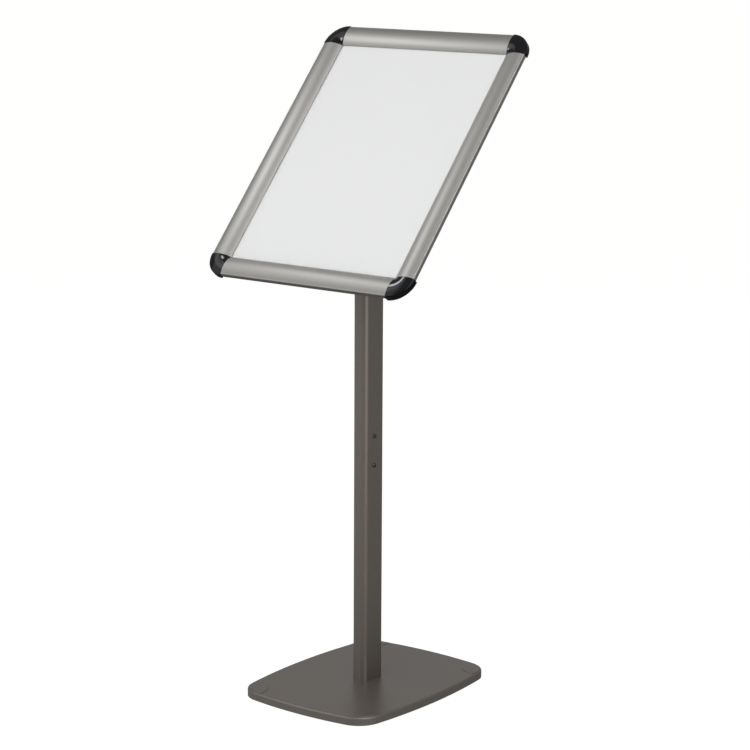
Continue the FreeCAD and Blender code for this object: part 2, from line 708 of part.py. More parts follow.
# ---------------------------------------------------------------- base
def barrel_outline(inset):
    """Four long bowed sides joined by four tangent corner arcs, all moved in by inset."""
    side_r = BASE_SIDE_R - inset
    end_r = BASE_END_R - inset
    corner_r = BASE_CORNER_R - inset
    side_c = Vector(BASE_WIDTH / 2 - BASE_SIDE_R, 0, 0)
    end_c = Vector(0, BASE_DEPTH / 2 - BASE_END_R, 0)
    to_side = side_r - corner_r
    to_end = end_r - corner_r
    span = end_c.sub(side_c)
    gap = span.Length
    along = (to_side ** 2 - to_end ** 2 + gap ** 2) / (2 * gap)
    off = math.sqrt(to_side ** 2 - along ** 2)
    unit = Vector(span).normalize()
    corner_c = side_c + unit * along + Vector(-unit.y, unit.x, 0) * -off
    if corner_c.x < 0:
        corner_c = side_c + unit * along + Vector(-unit.y, unit.x, 0) * off
    out_side = (corner_c - side_c).normalize()
    out_end = (corner_c - end_c).normalize()
    out_mid = (out_side + out_end).normalize()
    side_mid = Vector(BASE_WIDTH / 2 - inset, 0, 0)
    end_mid = Vector(0, BASE_DEPTH / 2 - inset, 0)
    side_end = corner_c + out_side * corner_r
    end_start = corner_c + out_end * corner_r
    corner_mid = corner_c + out_mid * corner_r

    def flip(p, sx, sy):
        return Vector(p.x * sx, p.y * sy, 0)

    return [
        arc(flip(side_end, 1, -1), side_mid, side_end),
        arc(side_end, corner_mid, end_start),
        arc(end_start, end_mid, flip(end_start, -1, 1)),
        arc(flip(end_start, -1, 1), flip(corner_mid, -1, 1), flip(side_end, -1, 1)),
        arc(flip(side_end, -1, 1), flip(side_mid, -1, 1), flip(side_end, -1, -1)),
        arc(flip(side_end, -1, -1), flip(corner_mid, -1, -1), flip(end_start, -1, -1)),
        arc(flip(end_start, -1, -1), flip(end_mid, 1, -1), flip(end_start, 1, -1)),
        arc(flip(end_start, 1, -1), flip(corner_mid, 1, -1), flip(side_end, 1, -1)),
    ]


def bolt_spots():
    return [(0, POST_Y + sign * BOLT_PITCH / 2) for sign in (-1, 1)]


def corner_pads():
    inside = extruded(barrel_outline(COVER_EDGE_R + 0.5), BASE_TOP - 0.5, BASE_TOP + PAD_RISE)
    pads = []
    for sx in (-1, 1):
        for sy in (-1, 1):
            x = sx * (BASE_WIDTH / 2 - PAD_X)
            y = sy * (BASE_DEPTH / 2 - PAD_Y)
            pads.append(disc(PAD_R, x, y, BASE_TOP - 0.5, BASE_TOP + PAD_RISE).common(inside))
    return pads


def base_cover():
    block = extruded(barrel_outline(0), SKIRT_CLEARANCE, BASE_TOP)
    rim = [e for e in block.Edges if e.BoundBox.ZMin > BASE_TOP - 0.01]
    block = block.makeFillet(COVER_EDGE_R, rim)
    hollow = extruded(barrel_outline(COVER_SKIN), SKIRT_CLEARANCE - 1, BASE_TOP - COVER_SKIN)
    cover = fused([block] + corner_pads()).cut(hollow)
    return cut_all(cover, [disc(BOLT_R + BOLT_GAP, x, y, 0, BASE_TOP + 1) for x, y in bolt_spots()])


def ballast_plate():
    plate = extruded(barrel_outline(COVER_SKIN + BALLAST_GAP), BALLAST_Z, SPACER_Z)
    return cut_all(plate, [disc(BOLT_RECESS_R, x, y, 0, SPACER_Z + 1) for x, y in bolt_spots()])


def foot_spacer():
    plate = rounded_block(SPACER_WIDTH, SPACER_DEPTH, SPACER_CORNER_R, 0, POST_Y, SPACER_Z, SPACER_TOP)
    return cut_all(plate, [disc(BOLT_R + BOLT_GAP, x, y, 0, SPACER_TOP + 1) for x, y in bolt_spots()])


def base_feet():
    feet = []
    for sx in (-1, 1):
        for sy in (-1, 1):
            x = sx * (BASE_WIDTH / 2 - FOOT_X)
            y = sy * (BASE_DEPTH / 2 - FOOT_Y)
            feet.append(disc(FOOT_R, x, y, 0, FOOT_THICK))
    return feet


def foot_block():
    inset = POST_WALL + PLUG_GAP
    block = post_solid(inset, BASE_TOP, BASE_TOP + FOOT_BLOCK_HEIGHT)
    return cut_all(block, [disc(BOLT_R, x, y, 0, BASE_TOP + BOLT_REACH) for x, y in bolt_spots()])


def base_bolts():
    bolts = []
    for x, y in bolt_spots():
        seat = SPACER_Z - BOLT_WASHER
        head = hexagon(BOLT_HEAD_R, x, y, seat - BOLT_HEAD, seat)
        bolts.append(head.fuse(disc(BOLT_R, x, y, seat, BASE_TOP + BOLT_REACH)))
    return bolts


def base_washers():
    return [ring(BOLT_WASHER_R, BOLT_R + BOLT_GAP / 2, x, y, SPACER_Z - BOLT_WASHER, SPACER_Z)
            for x, y in bolt_spots()]


# ---------------------------------------------------------------- all nodes
def sheet(inset, n0, thickness):
    x = SHEET_W / 2 - inset
    y = SHEET_H / 2 - inset
    return box(-x, x, -y, y, n0, n0 + thickness)


def build():
    os.makedirs("parts", exist_ok=True)
    for side in SIDES:
        save("snap_rail_" + side, on_frame(snap_rail(side)))
        save("back_profile_" + side, on_frame(back_profile(side)))
        save("rail_springs_" + side, [on_frame(leaf) for leaf in rail_springs(side)])
    for corner in CORNERS:
        save("corner_cap_" + corner, on_frame(on_corner(corner_cap(), corner)))
        save("corner_key_" + corner, on_frame(on_corner(corner_key(), corner)))
    save("corner_screws", [on_frame(s) for s in corner_screws()])
    save("back_panel", on_frame(sheet(0, PANEL_N, PANEL_THICK)))
    save("poster", on_frame(sheet(0.5, POSTER_N, POSTER_THICK)))
    save("cover_sheet", on_frame(sheet(0, COVER_N, COVER_THICK)))
    save("cross_bars", [on_frame(s) for s in cross_bars()])
    save("bar_rivets", [on_frame(s) for s in bar_rivets()])
    save("turn_plate", on_frame(turn_plate()))
    save("plate_screws", [on_frame(s) for s in plate_screws()])
    save("pivot_bolt", on_frame(pivot_bolt()))
    washer_hole = PIVOT_R + STOP_GAP
    save("spring_washer", on_frame(ring(PIVOT_HEAD_R, washer_hole, 0, 0, BAR_N,
                                        BAR_N + SPRING_WASHER_THICK)))
    save("friction_washer", on_frame(ring(WASHER_R, washer_hole, 0, 0, WASHER_N, PLATE_N)))
    pin_x, pin_y = stop_pin_at()
    save("stop_pin", on_frame(disc(STOP_PIN_R, pin_x, pin_y, HEAD_N, BAR_N - STOP_GAP)))
    save("head_casting", head_casting())
    save("head_screws", head_screws())
    save("post_upper", post_upper())
    save("post_lower", post_lower())
    save("post_joiner", post_joiner())
    save("joiner_screws", joiner_screws())
    save("foot_block", foot_block())
    save("base_cover", base_cover())
    save("foot_spacer", foot_spacer())
    save("ballast_plate", ballast_plate())
    save("base_feet", base_feet())
    save("base_bolts", base_bolts())
    save("base_washers", base_washers())


build()
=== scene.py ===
"""Sign stand: a snap frame leaning back on a two-piece post, over a pressed base with bowed sides."""

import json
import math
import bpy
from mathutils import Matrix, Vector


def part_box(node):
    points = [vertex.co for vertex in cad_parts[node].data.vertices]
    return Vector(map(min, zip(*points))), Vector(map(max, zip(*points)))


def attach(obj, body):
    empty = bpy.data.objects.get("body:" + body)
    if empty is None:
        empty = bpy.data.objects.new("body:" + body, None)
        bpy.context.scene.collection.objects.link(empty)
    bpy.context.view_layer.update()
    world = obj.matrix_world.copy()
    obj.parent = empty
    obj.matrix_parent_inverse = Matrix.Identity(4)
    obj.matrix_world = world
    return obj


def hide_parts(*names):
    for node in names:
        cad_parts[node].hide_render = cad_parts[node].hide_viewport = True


bl_info = {
    "name": "Sign Stand",
    "version": (1, 0, 0),
    "blender": (4, 5, 0),
    "location": "View3D > Sidebar > Sign Stand",
    "description": "Models a sign stand with a leaning snap frame around its packed frame",
    "category": "Add Mesh",
}

import bmesh
import bpy
from bpy.props import FloatProperty, FloatVectorProperty, PointerProperty
from mathutils import Matrix, Vector

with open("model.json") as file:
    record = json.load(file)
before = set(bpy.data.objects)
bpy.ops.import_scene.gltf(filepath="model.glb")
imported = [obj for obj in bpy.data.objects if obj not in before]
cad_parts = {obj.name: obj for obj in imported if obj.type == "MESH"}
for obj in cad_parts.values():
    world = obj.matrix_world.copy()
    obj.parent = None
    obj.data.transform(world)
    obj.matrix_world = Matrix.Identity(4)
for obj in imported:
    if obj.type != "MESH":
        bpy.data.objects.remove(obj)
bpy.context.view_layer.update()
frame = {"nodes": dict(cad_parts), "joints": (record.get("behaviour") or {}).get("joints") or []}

MM = 0.001
WELD = 2e-6  # points closer than this are one point
OVERLAP = 0.5 * MM  # how far two parts of one casting run into each other
SEAM = 0.05 * MM  # between the two lengths of post, and between two sheets
SPARE = 10 * MM  # drawn too long, to be cut off
SMOOTH_BELOW = math.radians(40)  # a bend that is shaded smooth
SHARP_ABOVE = math.radians(50)  # a bend that is an edge
UP = Vector((0, 0, 1))

# The sign's own directions: across it, up its slope and out of its face, from the pivot.
TURN_JOINT = next(j for j in frame["joints"] if j["name"] == "frame_turn")
PIVOT = Vector(TURN_JOINT["pos_m"])
NORMAL = Vector(TURN_JOINT["axis"]).normalized()
ACROSS = Vector((1, 0, 0))
SLOPE = NORMAL.cross(ACROSS)
SIGN_PLACE = Matrix.Translation(PIVOT) @ Matrix((ACROSS, SLOPE, NORMAL)).transposed().to_4x4()
LEAN = math.atan2(NORMAL.z, -NORMAL.y)


def span(node, direction):
    """Lowest and highest reach of a CAD node along a direction, from the pivot."""
    reach = [(v.co - PIVOT).dot(direction) for v in frame["nodes"][node].data.vertices]
    return min(reach), max(reach)


def levels(node):
    """Lowest and highest level of a CAD node."""
    return [corner.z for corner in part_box(node)]


HALF_WIDTH = span("snap_rail_right", ACROSS)[1]
HALF_HEIGHT = span("snap_rail_top", SLOPE)[1]
# Degrees that turn the bottom side, and its left corner, to each of the others.
SIDES = {"bottom": 0, "right": 90, "top": 180, "left": 270}
CORNERS = {"bl": 0, "br": 90, "tr": 180, "tl": 270}


def linear(code):
    """An sRGB hex colour as linear red, green and blue."""
    parts = [int(code[i:i + 2], 16) / 255 for i in (0, 2, 4)]
    return tuple(p / 12.92 if p <= 0.04045 else ((p + 0.055) / 1.055) ** 2.4 for p in parts)


# ---- what a user would change
def length(name, description, millimetres):
    return FloatProperty(name=name, description=description, default=millimetres * MM,
                         min=0.1 * MM, unit="LENGTH")


def colour(name, description, code):
    return FloatVectorProperty(name=name, description=description, default=linear(code),
                               min=0, max=1, size=3, subtype="COLOR")


class SignFrameSizes(bpy.types.PropertyGroup):
    """Snap rails, the profiles behind them and the corner caps."""

    rail_width: length("Rail width", "Face of a snap rail, outer to inner edge", 37)
    rail_side: length("Rail side", "Height of a rail's upright outer face", 8.6)
    rail_crown: length("Rail crown", "Highest point of a rail's domed face", 13)
    rail_lip: length("Rail lip", "Top of a rail's inner edge", 6.2)
    rail_edge: length("Rail edge", "Rounding between a rail's side and its dome", 2.4)
    rail_wall: length("Rail wall", "Wall of a snap rail", 1.3)
    hinge_inset: length("Hinge inset", "Hinge bead from the outer edge", 2.5)
    hinge_height: length("Hinge height", "Hinge bead in front of the back", 2.7)
    bead: length("Bead radius", "Radius of the hinge bead", 1.3)
    back_wall: length("Back wall", "Wall of a back profile", 1.2)
    cap_side: length("Cap side", "Corner cap outside the rails", 1.2)
    cap_rise: length("Cap rise", "Corner cap above the rails", 0.6)
    cap_wall: length("Cap wall", "Wall of a corner cap", 1.6)
    leaf_rise: length("Spring rise", "Bow of a leaf spring", 5)
    leaf_width: length("Spring width", "Width of a leaf spring", 16)


class MountSizes(bpy.types.PropertyGroup):
    """Cross bars, turn plate, head and post."""

    bar_width: length("Bar width", "Width of a cross bar", 26)
    bar_corner: length("Bar corner", "Corner radius of a cross bar", 3)
    plate_corner: length("Plate corner", "Corner radius of the turn plate", 12)
    stop_arm: length("Stop arm", "Stop slot from the pivot", 32)
    head_corner: length("Head corner", "Corner radius of the head's face", 10)
    head_thick: length("Head face", "Thickness of the head's face", 4)
    post_front: length("Post front", "Radius of the post's two front edges", 9)
    post_rear: length("Post rear", "Radius of the post's two rear edges", 2.5)
    post_wall: length("Post wall", "Wall of the post", 2)
    plug_gap: length("Plug gap", "Head plug inside the post", 0.2)


class BaseSizes(bpy.types.PropertyGroup):
    """Pressed base cover."""

    side_bow: length("Side bow", "Radius of the long bowed sides", 985)
    end_bow: length("End bow", "Radius of the bowed front and back", 670)
    corner: length("Corner", "Radius of the base's corners", 44)
    edge: length("Edge", "Rounding round the top of the base", 3)
    skin: length("Skin", "Sheet thickness of the cover", 2)
    pad_radius: length("Pad radius", "Radius of the raised round pads", 42)
    pad_x: length("Pad in from side", "Pad centre in from the side", 17)
    pad_y: length("Pad in from end", "Pad centre in from the end", 15)


class FinishColours(bpy.types.PropertyGroup):
    """Colours of the visible finishes."""

    aluminium: colour("Aluminium", "Satin anodised rails", "C2C0BC")
    chrome: colour("Black chrome", "Plated corner caps", "5A565A")
    paint: colour("Paint", "Graphite paint of post and base", "948D87")
    paper: colour("Poster", "Paper of the poster", "F1F1F1")
    panel: colour("Back panel", "Plastic sheet behind the poster", "3B3B3C")
    floor: colour("Floor", "Floor of the studio", "FCFCFB")


class SignStandSettings(bpy.types.PropertyGroup):
    """Everything that can be changed on the sign stand."""

    sign: PointerProperty(type=SignFrameSizes)
    mount: PointerProperty(type=MountSizes)
    base: PointerProperty(type=BaseSizes)
    colours: PointerProperty(type=FinishColours)


def settings():
    return bpy.context.scene.sign_stand


# ---- working on a piece
def alone(*pieces):
    """Object mode, with just these pieces selected and the first one active."""
    if bpy.context.object and bpy.context.object.mode != "OBJECT":
        bpy.ops.object.mode_set(mode="OBJECT")
    bpy.ops.object.select_all(action="DESELECT")
    for piece in pieces:
        piece.select_set(True)
    if pieces:
        bpy.context.view_layer.objects.active = pieces[0]


def edit(piece):
    alone(piece)
    bpy.ops.object.mode_set(mode="EDIT")


def named(name):
    """Give the object that was just added its name, and put its place in its mesh."""
    piece = bpy.context.object
    piece.name = piece.data.name = name
    bpy.ops.object.transform_apply(location=True, rotation=True, scale=True)
    return piece


def choose(piece, kind, test):
    """In edit mode, select just the vertices, edges or faces that pass a test."""
    bpy.ops.mesh.select_mode(type=kind)
    bpy.ops.mesh.select_all(action="DESELECT")
    mesh = bmesh.from_edit_mesh(piece.data)
    mesh.normal_update()
    items = {"VERT": mesh.verts, "EDGE": mesh.edges, "FACE": mesh.faces}[kind]
    chosen = [item for item in items if test(item)]
    if not chosen:
        raise RuntimeError(f"{piece.name}: no {kind.lower()} passes the test")
    for item in chosen:
        item.select_set(True)
    mesh.select_flush_mode()
    bmesh.update_edit_mesh(piece.data)


def push(*move):
    """Extrude what is selected along a straight move."""
    bpy.ops.mesh.extrude_region_move(TRANSFORM_OT_translate={"value": Vector(move)})


def all_of_it():
    bpy.ops.mesh.select_all(action="SELECT")


def outward():
    """Merge what lies at one point, and turn the faces outwards."""
    all_of_it()
    bpy.ops.mesh.remove_doubles(threshold=WELD)
    bpy.ops.mesh.normals_make_consistent(inside=False)


def round_edges(piece, radius, segments, test):
    choose(piece, "EDGE", test)
    bpy.ops.mesh.bevel(offset=radius, segments=segments, affect="EDGES")


def is_sharp(edge):
    return len(edge.link_faces) == 2 and edge.calc_face_angle() > SHARP_ABOVE


def is_along(edge, direction):
    run = edge.verts[1].co - edge.verts[0].co
    return abs(run.normalized().dot(direction)) > 0.999


def at_level(edge, level, axis=2):
    return all(abs(v.co[axis] - level) < 10 * WELD for v in edge.verts)


def apply_modifier(piece, kind, **values):
    alone(piece)
    modifier = piece.modifiers.new(kind.title(), kind)
    for key, value in values.items():
        setattr(modifier, key, value)
    bpy.ops.object.modifier_apply(modifier=modifier.name)


def discard(piece):
    alone(piece)
    bpy.ops.object.delete()


def combine(piece, tool, operation):
    """Boolean one piece with another, which is used up."""
    apply_modifier(piece, "BOOLEAN", object=tool, operation=operation, solver="EXACT")
    discard(tool)


def copied(piece, name):
    """A copy of a piece with its own mesh."""
    alone(piece)
    bpy.ops.object.duplicate(linked=False)
    copy = bpy.context.object
    copy.name = copy.data.name = name
    return copy


def placed(piece, place):
    """Move a piece, and put its place in its mesh."""
    alone(piece)
    piece.matrix_world = place
    bpy.ops.object.transform_apply(location=True, rotation=True, scale=True)
    return piece


def finish(piece, material, body, slot, *nodes):
    """Smooth a piece, give it its material, and let it ride in place of its CAD nodes."""
    alone(piece)
    bpy.ops.object.shade_smooth_by_angle(angle=SMOOTH_BELOW)
    apply_modifier(piece, "WEIGHTED_NORMAL", keep_sharp=True)
    piece.data.materials.clear()
    piece.data.materials.append(material)
    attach(piece, body)
    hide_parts(*nodes)


def arc_through(start, middle, end):
    """Centre and signed sweep of the arc through three points of a flat outline."""
    a, b = middle - start, end - start
    turn = 2 * (a.x * b.y - a.y * b.x)
    centre = start + Vector((b.y * a.dot(a) - a.y * b.dot(b), a.x * b.dot(b) - b.x * a.dot(a))) / turn
    angles = [math.atan2(p.y - centre.y, p.x - centre.x) for p in (start, middle, end)]
    to_middle = (angles[1] - angles[0]) % math.tau
    sweep = (angles[2] - angles[0]) % math.tau
    return centre, sweep if to_middle < sweep else sweep - math.tau


def trace(name, moves, put):
    """Draw a closed outline with extrude and spin, and fill it; the piece stays in edit mode.

    The first move is the starting point. Each next one is a point to go straight to, or the
    middle, end and steps of an arc. put takes a flat point to its place in space.
    """
    here = Vector(moves[0])
    origin = put(Vector((0, 0)))
    axis = (put(Vector((1, 0))) - origin).cross(put(Vector((0, 1))) - origin)
    alone()
    bpy.ops.mesh.primitive_plane_add(size=MM, location=put(here))
    piece = named(name)
    edit(piece)
    bpy.ops.mesh.select_mode(type="VERT")
    all_of_it()
    bpy.ops.mesh.merge(type="CENTER")
    for move in moves[1:]:
        if len(move) == 2:
            end = Vector(move)
            push(*(put(end) - put(here)))
        else:
            middle, end, steps = Vector(move[0]), Vector(move[1]), move[2]
            centre, sweep = arc_through(here, middle, end)
            bpy.ops.mesh.spin(steps=steps, angle=-sweep, center=put(centre), axis=axis)
        here = end
    all_of_it()
    bpy.ops.mesh.remove_doubles(threshold=WELD)
    all_of_it()
    bpy.ops.mesh.edge_face_add()
    return piece


def block(name, low, high):
    """A box between two corners, in edit mode."""
    low, high = Vector(low), Vector(high)
    alone()
    bpy.ops.mesh.primitive_cube_add(size=1, location=(low + high) / 2, scale=high - low)
    piece = named(name)
    edit(piece)
    return piece


def rounded_plate(name, low, high, corner, edge):
    """A flat plate with round corners and softened rims, in the sign's own directions."""
    piece = block(name, low, high)
    round_edges(piece, corner, 10, lambda e: is_along(e, UP))
    round_edges(piece, edge, 3, is_sharp)
    return piece


def disc(name, radius, low, high, centre=(0, 0), vertices=64):
    """An upright cylinder, in object mode."""
    alone()
    bpy.ops.mesh.primitive_cylinder_add(vertices=vertices, radius=radius, depth=high - low,
                                        location=(*centre, (low + high) / 2))
    return named(name)


# ---- materials
def add(tree, kind, values=(), links=()):
    """Add a shader node. Values set its own settings or its inputs, links feed its inputs."""
    made = tree.nodes.new("ShaderNode" + kind)
    for key, value in dict(values).items():
        if isinstance(key, str) and hasattr(made, key):
            setattr(made, key, value)
        else:
            made.inputs[key].default_value = value
    for key, source in dict(links).items():
        tree.links.new(source, made.inputs[key])
    return made


def opaque(rgb):
    return tuple(rgb) + (1,)


def metal(roughness, metallic=1):
    return {"Metallic": metallic, "Roughness": roughness}


def plain(roughness, ior):
    return {"Roughness": roughness, "IOR": ior}


def surface(name, rgb, values, sizes, turn=0.0, tone=0.0, rough=0.0, bump=0.0, voronoi=False):
    """A Principled material whose grain varies its tone, roughness and height.

    sizes and bump are a grain's x, y, z and height in millimetres, turn turns it about x, and
    tone and rough are how far colour and roughness go up and down.
    """
    old = bpy.data.materials.get(name)
    if old:
        return old
    material = bpy.data.materials.new(name)
    material.use_nodes = True
    tree = material.node_tree
    tree.nodes.clear()
    where = add(tree, "TexCoord")
    mapping = add(tree, "Mapping",
                  {"vector_type": "TEXTURE", "Rotation": (turn, 0, 0),
                   "Scale": tuple(s * MM for s in sizes)},
                  {"Vector": where.outputs["Object"]})
    if voronoi:
        pattern = add(tree, "TexVoronoi", {"Scale": 1}, {"Vector": mapping.outputs[0]})
        height = add(tree, "RGBToBW", (), {"Color": pattern.outputs["Color"]}).outputs[0]
    else:
        pattern = add(tree, "TexNoise", {"Scale": 1, "Detail": 4, "Roughness": 0.6},
                      {"Vector": mapping.outputs[0]})
        height = pattern.outputs["Fac"]
    shader = add(tree, "BsdfPrincipled", {"Base Color": opaque(rgb), **values})
    if tone:
        ramp = add(tree, "Mix", {
            "data_type": "RGBA",
            6: opaque(c * (1 - tone) for c in rgb),
            7: opaque(min(1, c * (1 + tone)) for c in rgb)}, {0: height})
        tree.links.new(ramp.outputs[2], shader.inputs["Base Color"])
    if rough:
        middle = values["Roughness"]
        spread = add(tree, "MapRange",
                     {"To Min": middle - rough, "To Max": middle + rough}, {"Value": height})
        tree.links.new(spread.outputs[0], shader.inputs["Roughness"])
    if bump:
        relief = add(tree, "Bump", {"Strength": 1, "Distance": bump * MM},
                     {"Height": height})
        tree.links.new(relief.outputs[0], shader.inputs["Normal"])
    output = add(tree, "OutputMaterial")
    tree.links.new(shader.outputs[0], output.inputs["Surface"])
    return material


def anodised_aluminium(lengthwise):
    # Extruded aluminium, etched and anodised satin: soft wide highlights, with very faint lines
    # along the extrusion. The die lines are 0.3 mm apart, and drawn 1 mm apart so that they show.
    sizes = (60, 1, 1) if lengthwise == "across" else (1, 60, 1)
    return surface("anodised_aluminium_" + lengthwise, settings().colours.aluminium, metal(0.5),
                   sizes, math.pi / 2 - LEAN, tone=0.03, rough=0.03, bump=0.004)


def mill_aluminium():
    # Extruded aluminium as it left the die: brighter and streakier than the anodised rails.
    return surface("mill_aluminium", linear("C4C4C6"), metal(0.35), (1, 1, 40), tone=0.05,
                   rough=0.06, bump=0.006)


def black_chrome():
    # Moulded ABS with black chrome plating: a dark mirror with barely uneven polish.
    return surface("black_chrome", settings().colours.chrome, metal(0.09), (14, 14, 14), tone=0.05,
                   rough=0.03)


def graphite_paint():
    # Steel under polyester powder coat with fine metal flake: a warm dark grey with a soft sheen
    # and slight orange peel. The flakes are 0.1 mm, and drawn 0.8 mm so that they show.
    return surface("graphite_powder_coat", settings().colours.paint, metal(0.36, 0.75),
                   (0.8, 0.8, 0.8), tone=0.10, rough=0.05, bump=0.01, voronoi=True)


def matt_paper():
    # Coated poster paper: flat white, a faint tooth of fibres about 0.8 mm across.
    return surface("coated_paper", settings().colours.paper, plain(0.8, 1.5), (0.8, 0.8, 0.8),
                   tone=0.012, bump=0.008)


def clear_film():
    # Calendered PVC film with a matt face against glare: all but invisible, a weak soft gloss.
    return surface("clear_pvc_film", linear("F4F7F8"), {**plain(0.75, 1.53), "Alpha": 0.05},
                   (30, 30, 30), rough=0.05)


def panel_plastic():
    # Extruded polystyrene sheet: dark and even, with a fine leather grain of 1.2 mm.
    return surface("polystyrene_sheet", settings().colours.panel, plain(0.55, 1.58),
                   (1.2, 1.2, 1.2), tone=0.06, rough=0.06, bump=0.05)


def zinc_plate():
    # Steel, zinc plated and clear passivated: bright, slightly blue and cloudy.
    return surface("zinc_plated_steel", linear("B9BDC2"), metal(0.32), (3, 3, 3), tone=0.08,
                   rough=0.08)


def black_oxide():
    # Steel, black oxide with oil: dark, with a clear metal gleam on its edges.
    return surface("black_oxide_steel", linear("7A7570"), metal(0.25, 0.9), (1, 1, 1), tone=0.10,
                   rough=0.06)


def spring_steel():
    # Blue-tempered spring strip: dark and smooth, with soft streaks from rolling.
    return surface("spring_steel", linear("6F7379"), metal(0.3), (2, 20, 2), tone=0.08, rough=0.05)


def black_nylon():
    # Glass-filled nylon, injection moulded: dull black with a fine uneven sheen.
    return surface("glass_filled_nylon", linear("242425"), plain(0.5, 1.53), (1.5, 1.5, 1.5),
                   tone=0.10, rough=0.08, bump=0.01)


def natural_nylon():
    # Nylon sheet, punched: milky and waxy.
    return surface("natural_nylon", linear("E4E0D3"),
                   {**plain(0.42, 1.53), "Subsurface Weight": 0.15, "Subsurface Scale": 0.002},
                   (2, 2, 2), tone=0.03, rough=0.05)


def moulded_rubber():
    # Moulded rubber: deep matt grey-black with a bloom.
    return surface("moulded_rubber", linear("1F1F20"), plain(0.75, 1.52), (2, 2, 2), tone=0.12,
                   rough=0.08, bump=0.02)


def black_paint():
    # Steel plate with sprayed black primer: flat, a little dusty.
    return surface("black_primer", linear("2A2A2A"), plain(0.65, 1.5), (1.5, 1.5, 1.5), tone=0.10,
                   rough=0.08, bump=0.02)


# ---- base
def barrel(inset):
    """The base's outline, moved in by an inset: eight arcs, tangent to each other."""
    sizes = settings().base
    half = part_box("base_cover")[1]
    side_centre = Vector((half.x - sizes.side_bow, 0))
    end_centre = Vector((0, half.y - sizes.end_bow))
    to_side = sizes.side_bow - sizes.corner
    to_end = sizes.end_bow - sizes.corner
    gap = (end_centre - side_centre).length
    unit = (end_centre - side_centre) / gap
    along = (to_side ** 2 - to_end ** 2 + gap ** 2) / (2 * gap)
    off = math.sqrt(to_side ** 2 - along ** 2)
    centre = side_centre + unit * along + Vector((-unit.y, unit.x)) * off
    radius = sizes.corner - inset
    out_side = (centre - side_centre).normalized()
    out_end = (centre - end_centre).normalized()
    side = (Vector((half.x - inset, 0)), centre + out_side * radius)
    end = (Vector((0, half.y - inset)), centre + out_end * radius)
    corner = centre + (out_side + out_end).normalized() * radius
    bow_steps, corner_steps = 20, 12

    def flip(point, x, y):
        return Vector((point.x * x, point.y * y))

    moves = [flip(side[1], 1, -1)]
    for x, y in ((1, 1), (-1, 1), (-1, -1), (1, -1)):
        bow, last = (side, end[1]) if x == y else (end, side[1])
        moves += [(flip(bow[0], x, y), flip(bow[1], x, y), bow_steps),
                  (flip(corner, x, y), flip(last, x, y), corner_steps)]
    return moves


def at_height(z):
    return lambda point: Vector((point.x, point.y, z))


PAD_IN = 0.5 * MM  # the pads' outer edge inside the rounded rim


def corner_pads(top, rise):
    """The four raised round pads, cut off along the base's rim."""
    sizes = settings().base
    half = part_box("base_cover")[1]
    low = top - OVERLAP
    discs = [disc(f"pad_{i}", sizes.pad_radius, low, rise,
                  (x * (half.x - sizes.pad_x), y * (half.y - sizes.pad_y)), vertices=160)
             for i, (x, y) in enumerate([(1, 1), (1, -1), (-1, 1), (-1, -1)])]
    alone(*discs)
    bpy.ops.object.join()
    pads = bpy.context.object
    limit = trace("pad_limit", barrel(sizes.edge + PAD_IN), at_height(low - MM))
    push(0, 0, rise - low + 2 * MM)
    outward()
    combine(pads, limit, "INTERSECT")
    edit(pads)
    round_edges(pads, 0.7 * (rise - top), 3, lambda e: at_level(e, rise) and is_sharp(e))
    alone(pads)
    return pads


class SIGNSTAND_OT_base(bpy.types.Operator):
    """Pressed base cover with bowed sides, a rounded rim and raised pads at its corners"""

    bl_idname = "sign_stand.base"
    bl_label = "Base Cover"

    def execute(self, context):
        sizes = settings().base
        skirt, rise = levels("base_cover")
        top = levels("post_lower")[0]
        cover = trace("pressed_cover", barrel(0), at_height(skirt))
        push(0, 0, top - skirt)
        outward()
        round_edges(cover, sizes.edge, 6, lambda e: at_level(e, top))
        choose(cover, "FACE", lambda f: f.normal.z < -0.9)
        bpy.ops.mesh.delete(type="FACE")
        apply_modifier(cover, "SOLIDIFY", thickness=sizes.skin, offset=-1)
        combine(cover, corner_pads(top, rise), "UNION")
        finish(cover, graphite_paint(), "stand", "graphite_paint", "base_cover")
        return {"FINISHED"}


# ---- post and head
LEAST_REAR = 0.5 * MM  # radius of the rear edges, where an inset leaves less
SEAM_ROUND = 0.1 * MM  # rounding of the two rims at the seam


def post_block(name, inset, low, high):
    """A solid length of the post's section, moved in by an inset, in edit mode."""
    sizes = settings().mount
    corner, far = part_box("post_lower")
    shrink = Vector((inset, inset, 0))
    piece = block(name, Vector((corner.x, corner.y, low)) + shrink,
                  Vector((far.x, far.y, high)) - shrink)
    middle = (corner.y + far.y) / 2
    round_edges(piece, sizes.post_front - inset, 12,
                lambda e: is_along(e, UP) and e.verts[0].co.y < middle)
    round_edges(piece, max(sizes.post_rear - inset, LEAST_REAR), 6,
                lambda e: is_along(e, UP) and is_sharp(e) and e.verts[0].co.y > middle)
    return piece


def tube(name, low, high):
    """An open length of the post, with its wall."""
    piece = post_block(name, 0, low, high)
    choose(piece, "FACE", lambda f: abs(f.normal.z) > 0.9)
    bpy.ops.mesh.delete(type="FACE")
    apply_modifier(piece, "SOLIDIFY", thickness=settings().mount.post_wall, offset=-1)
    return piece


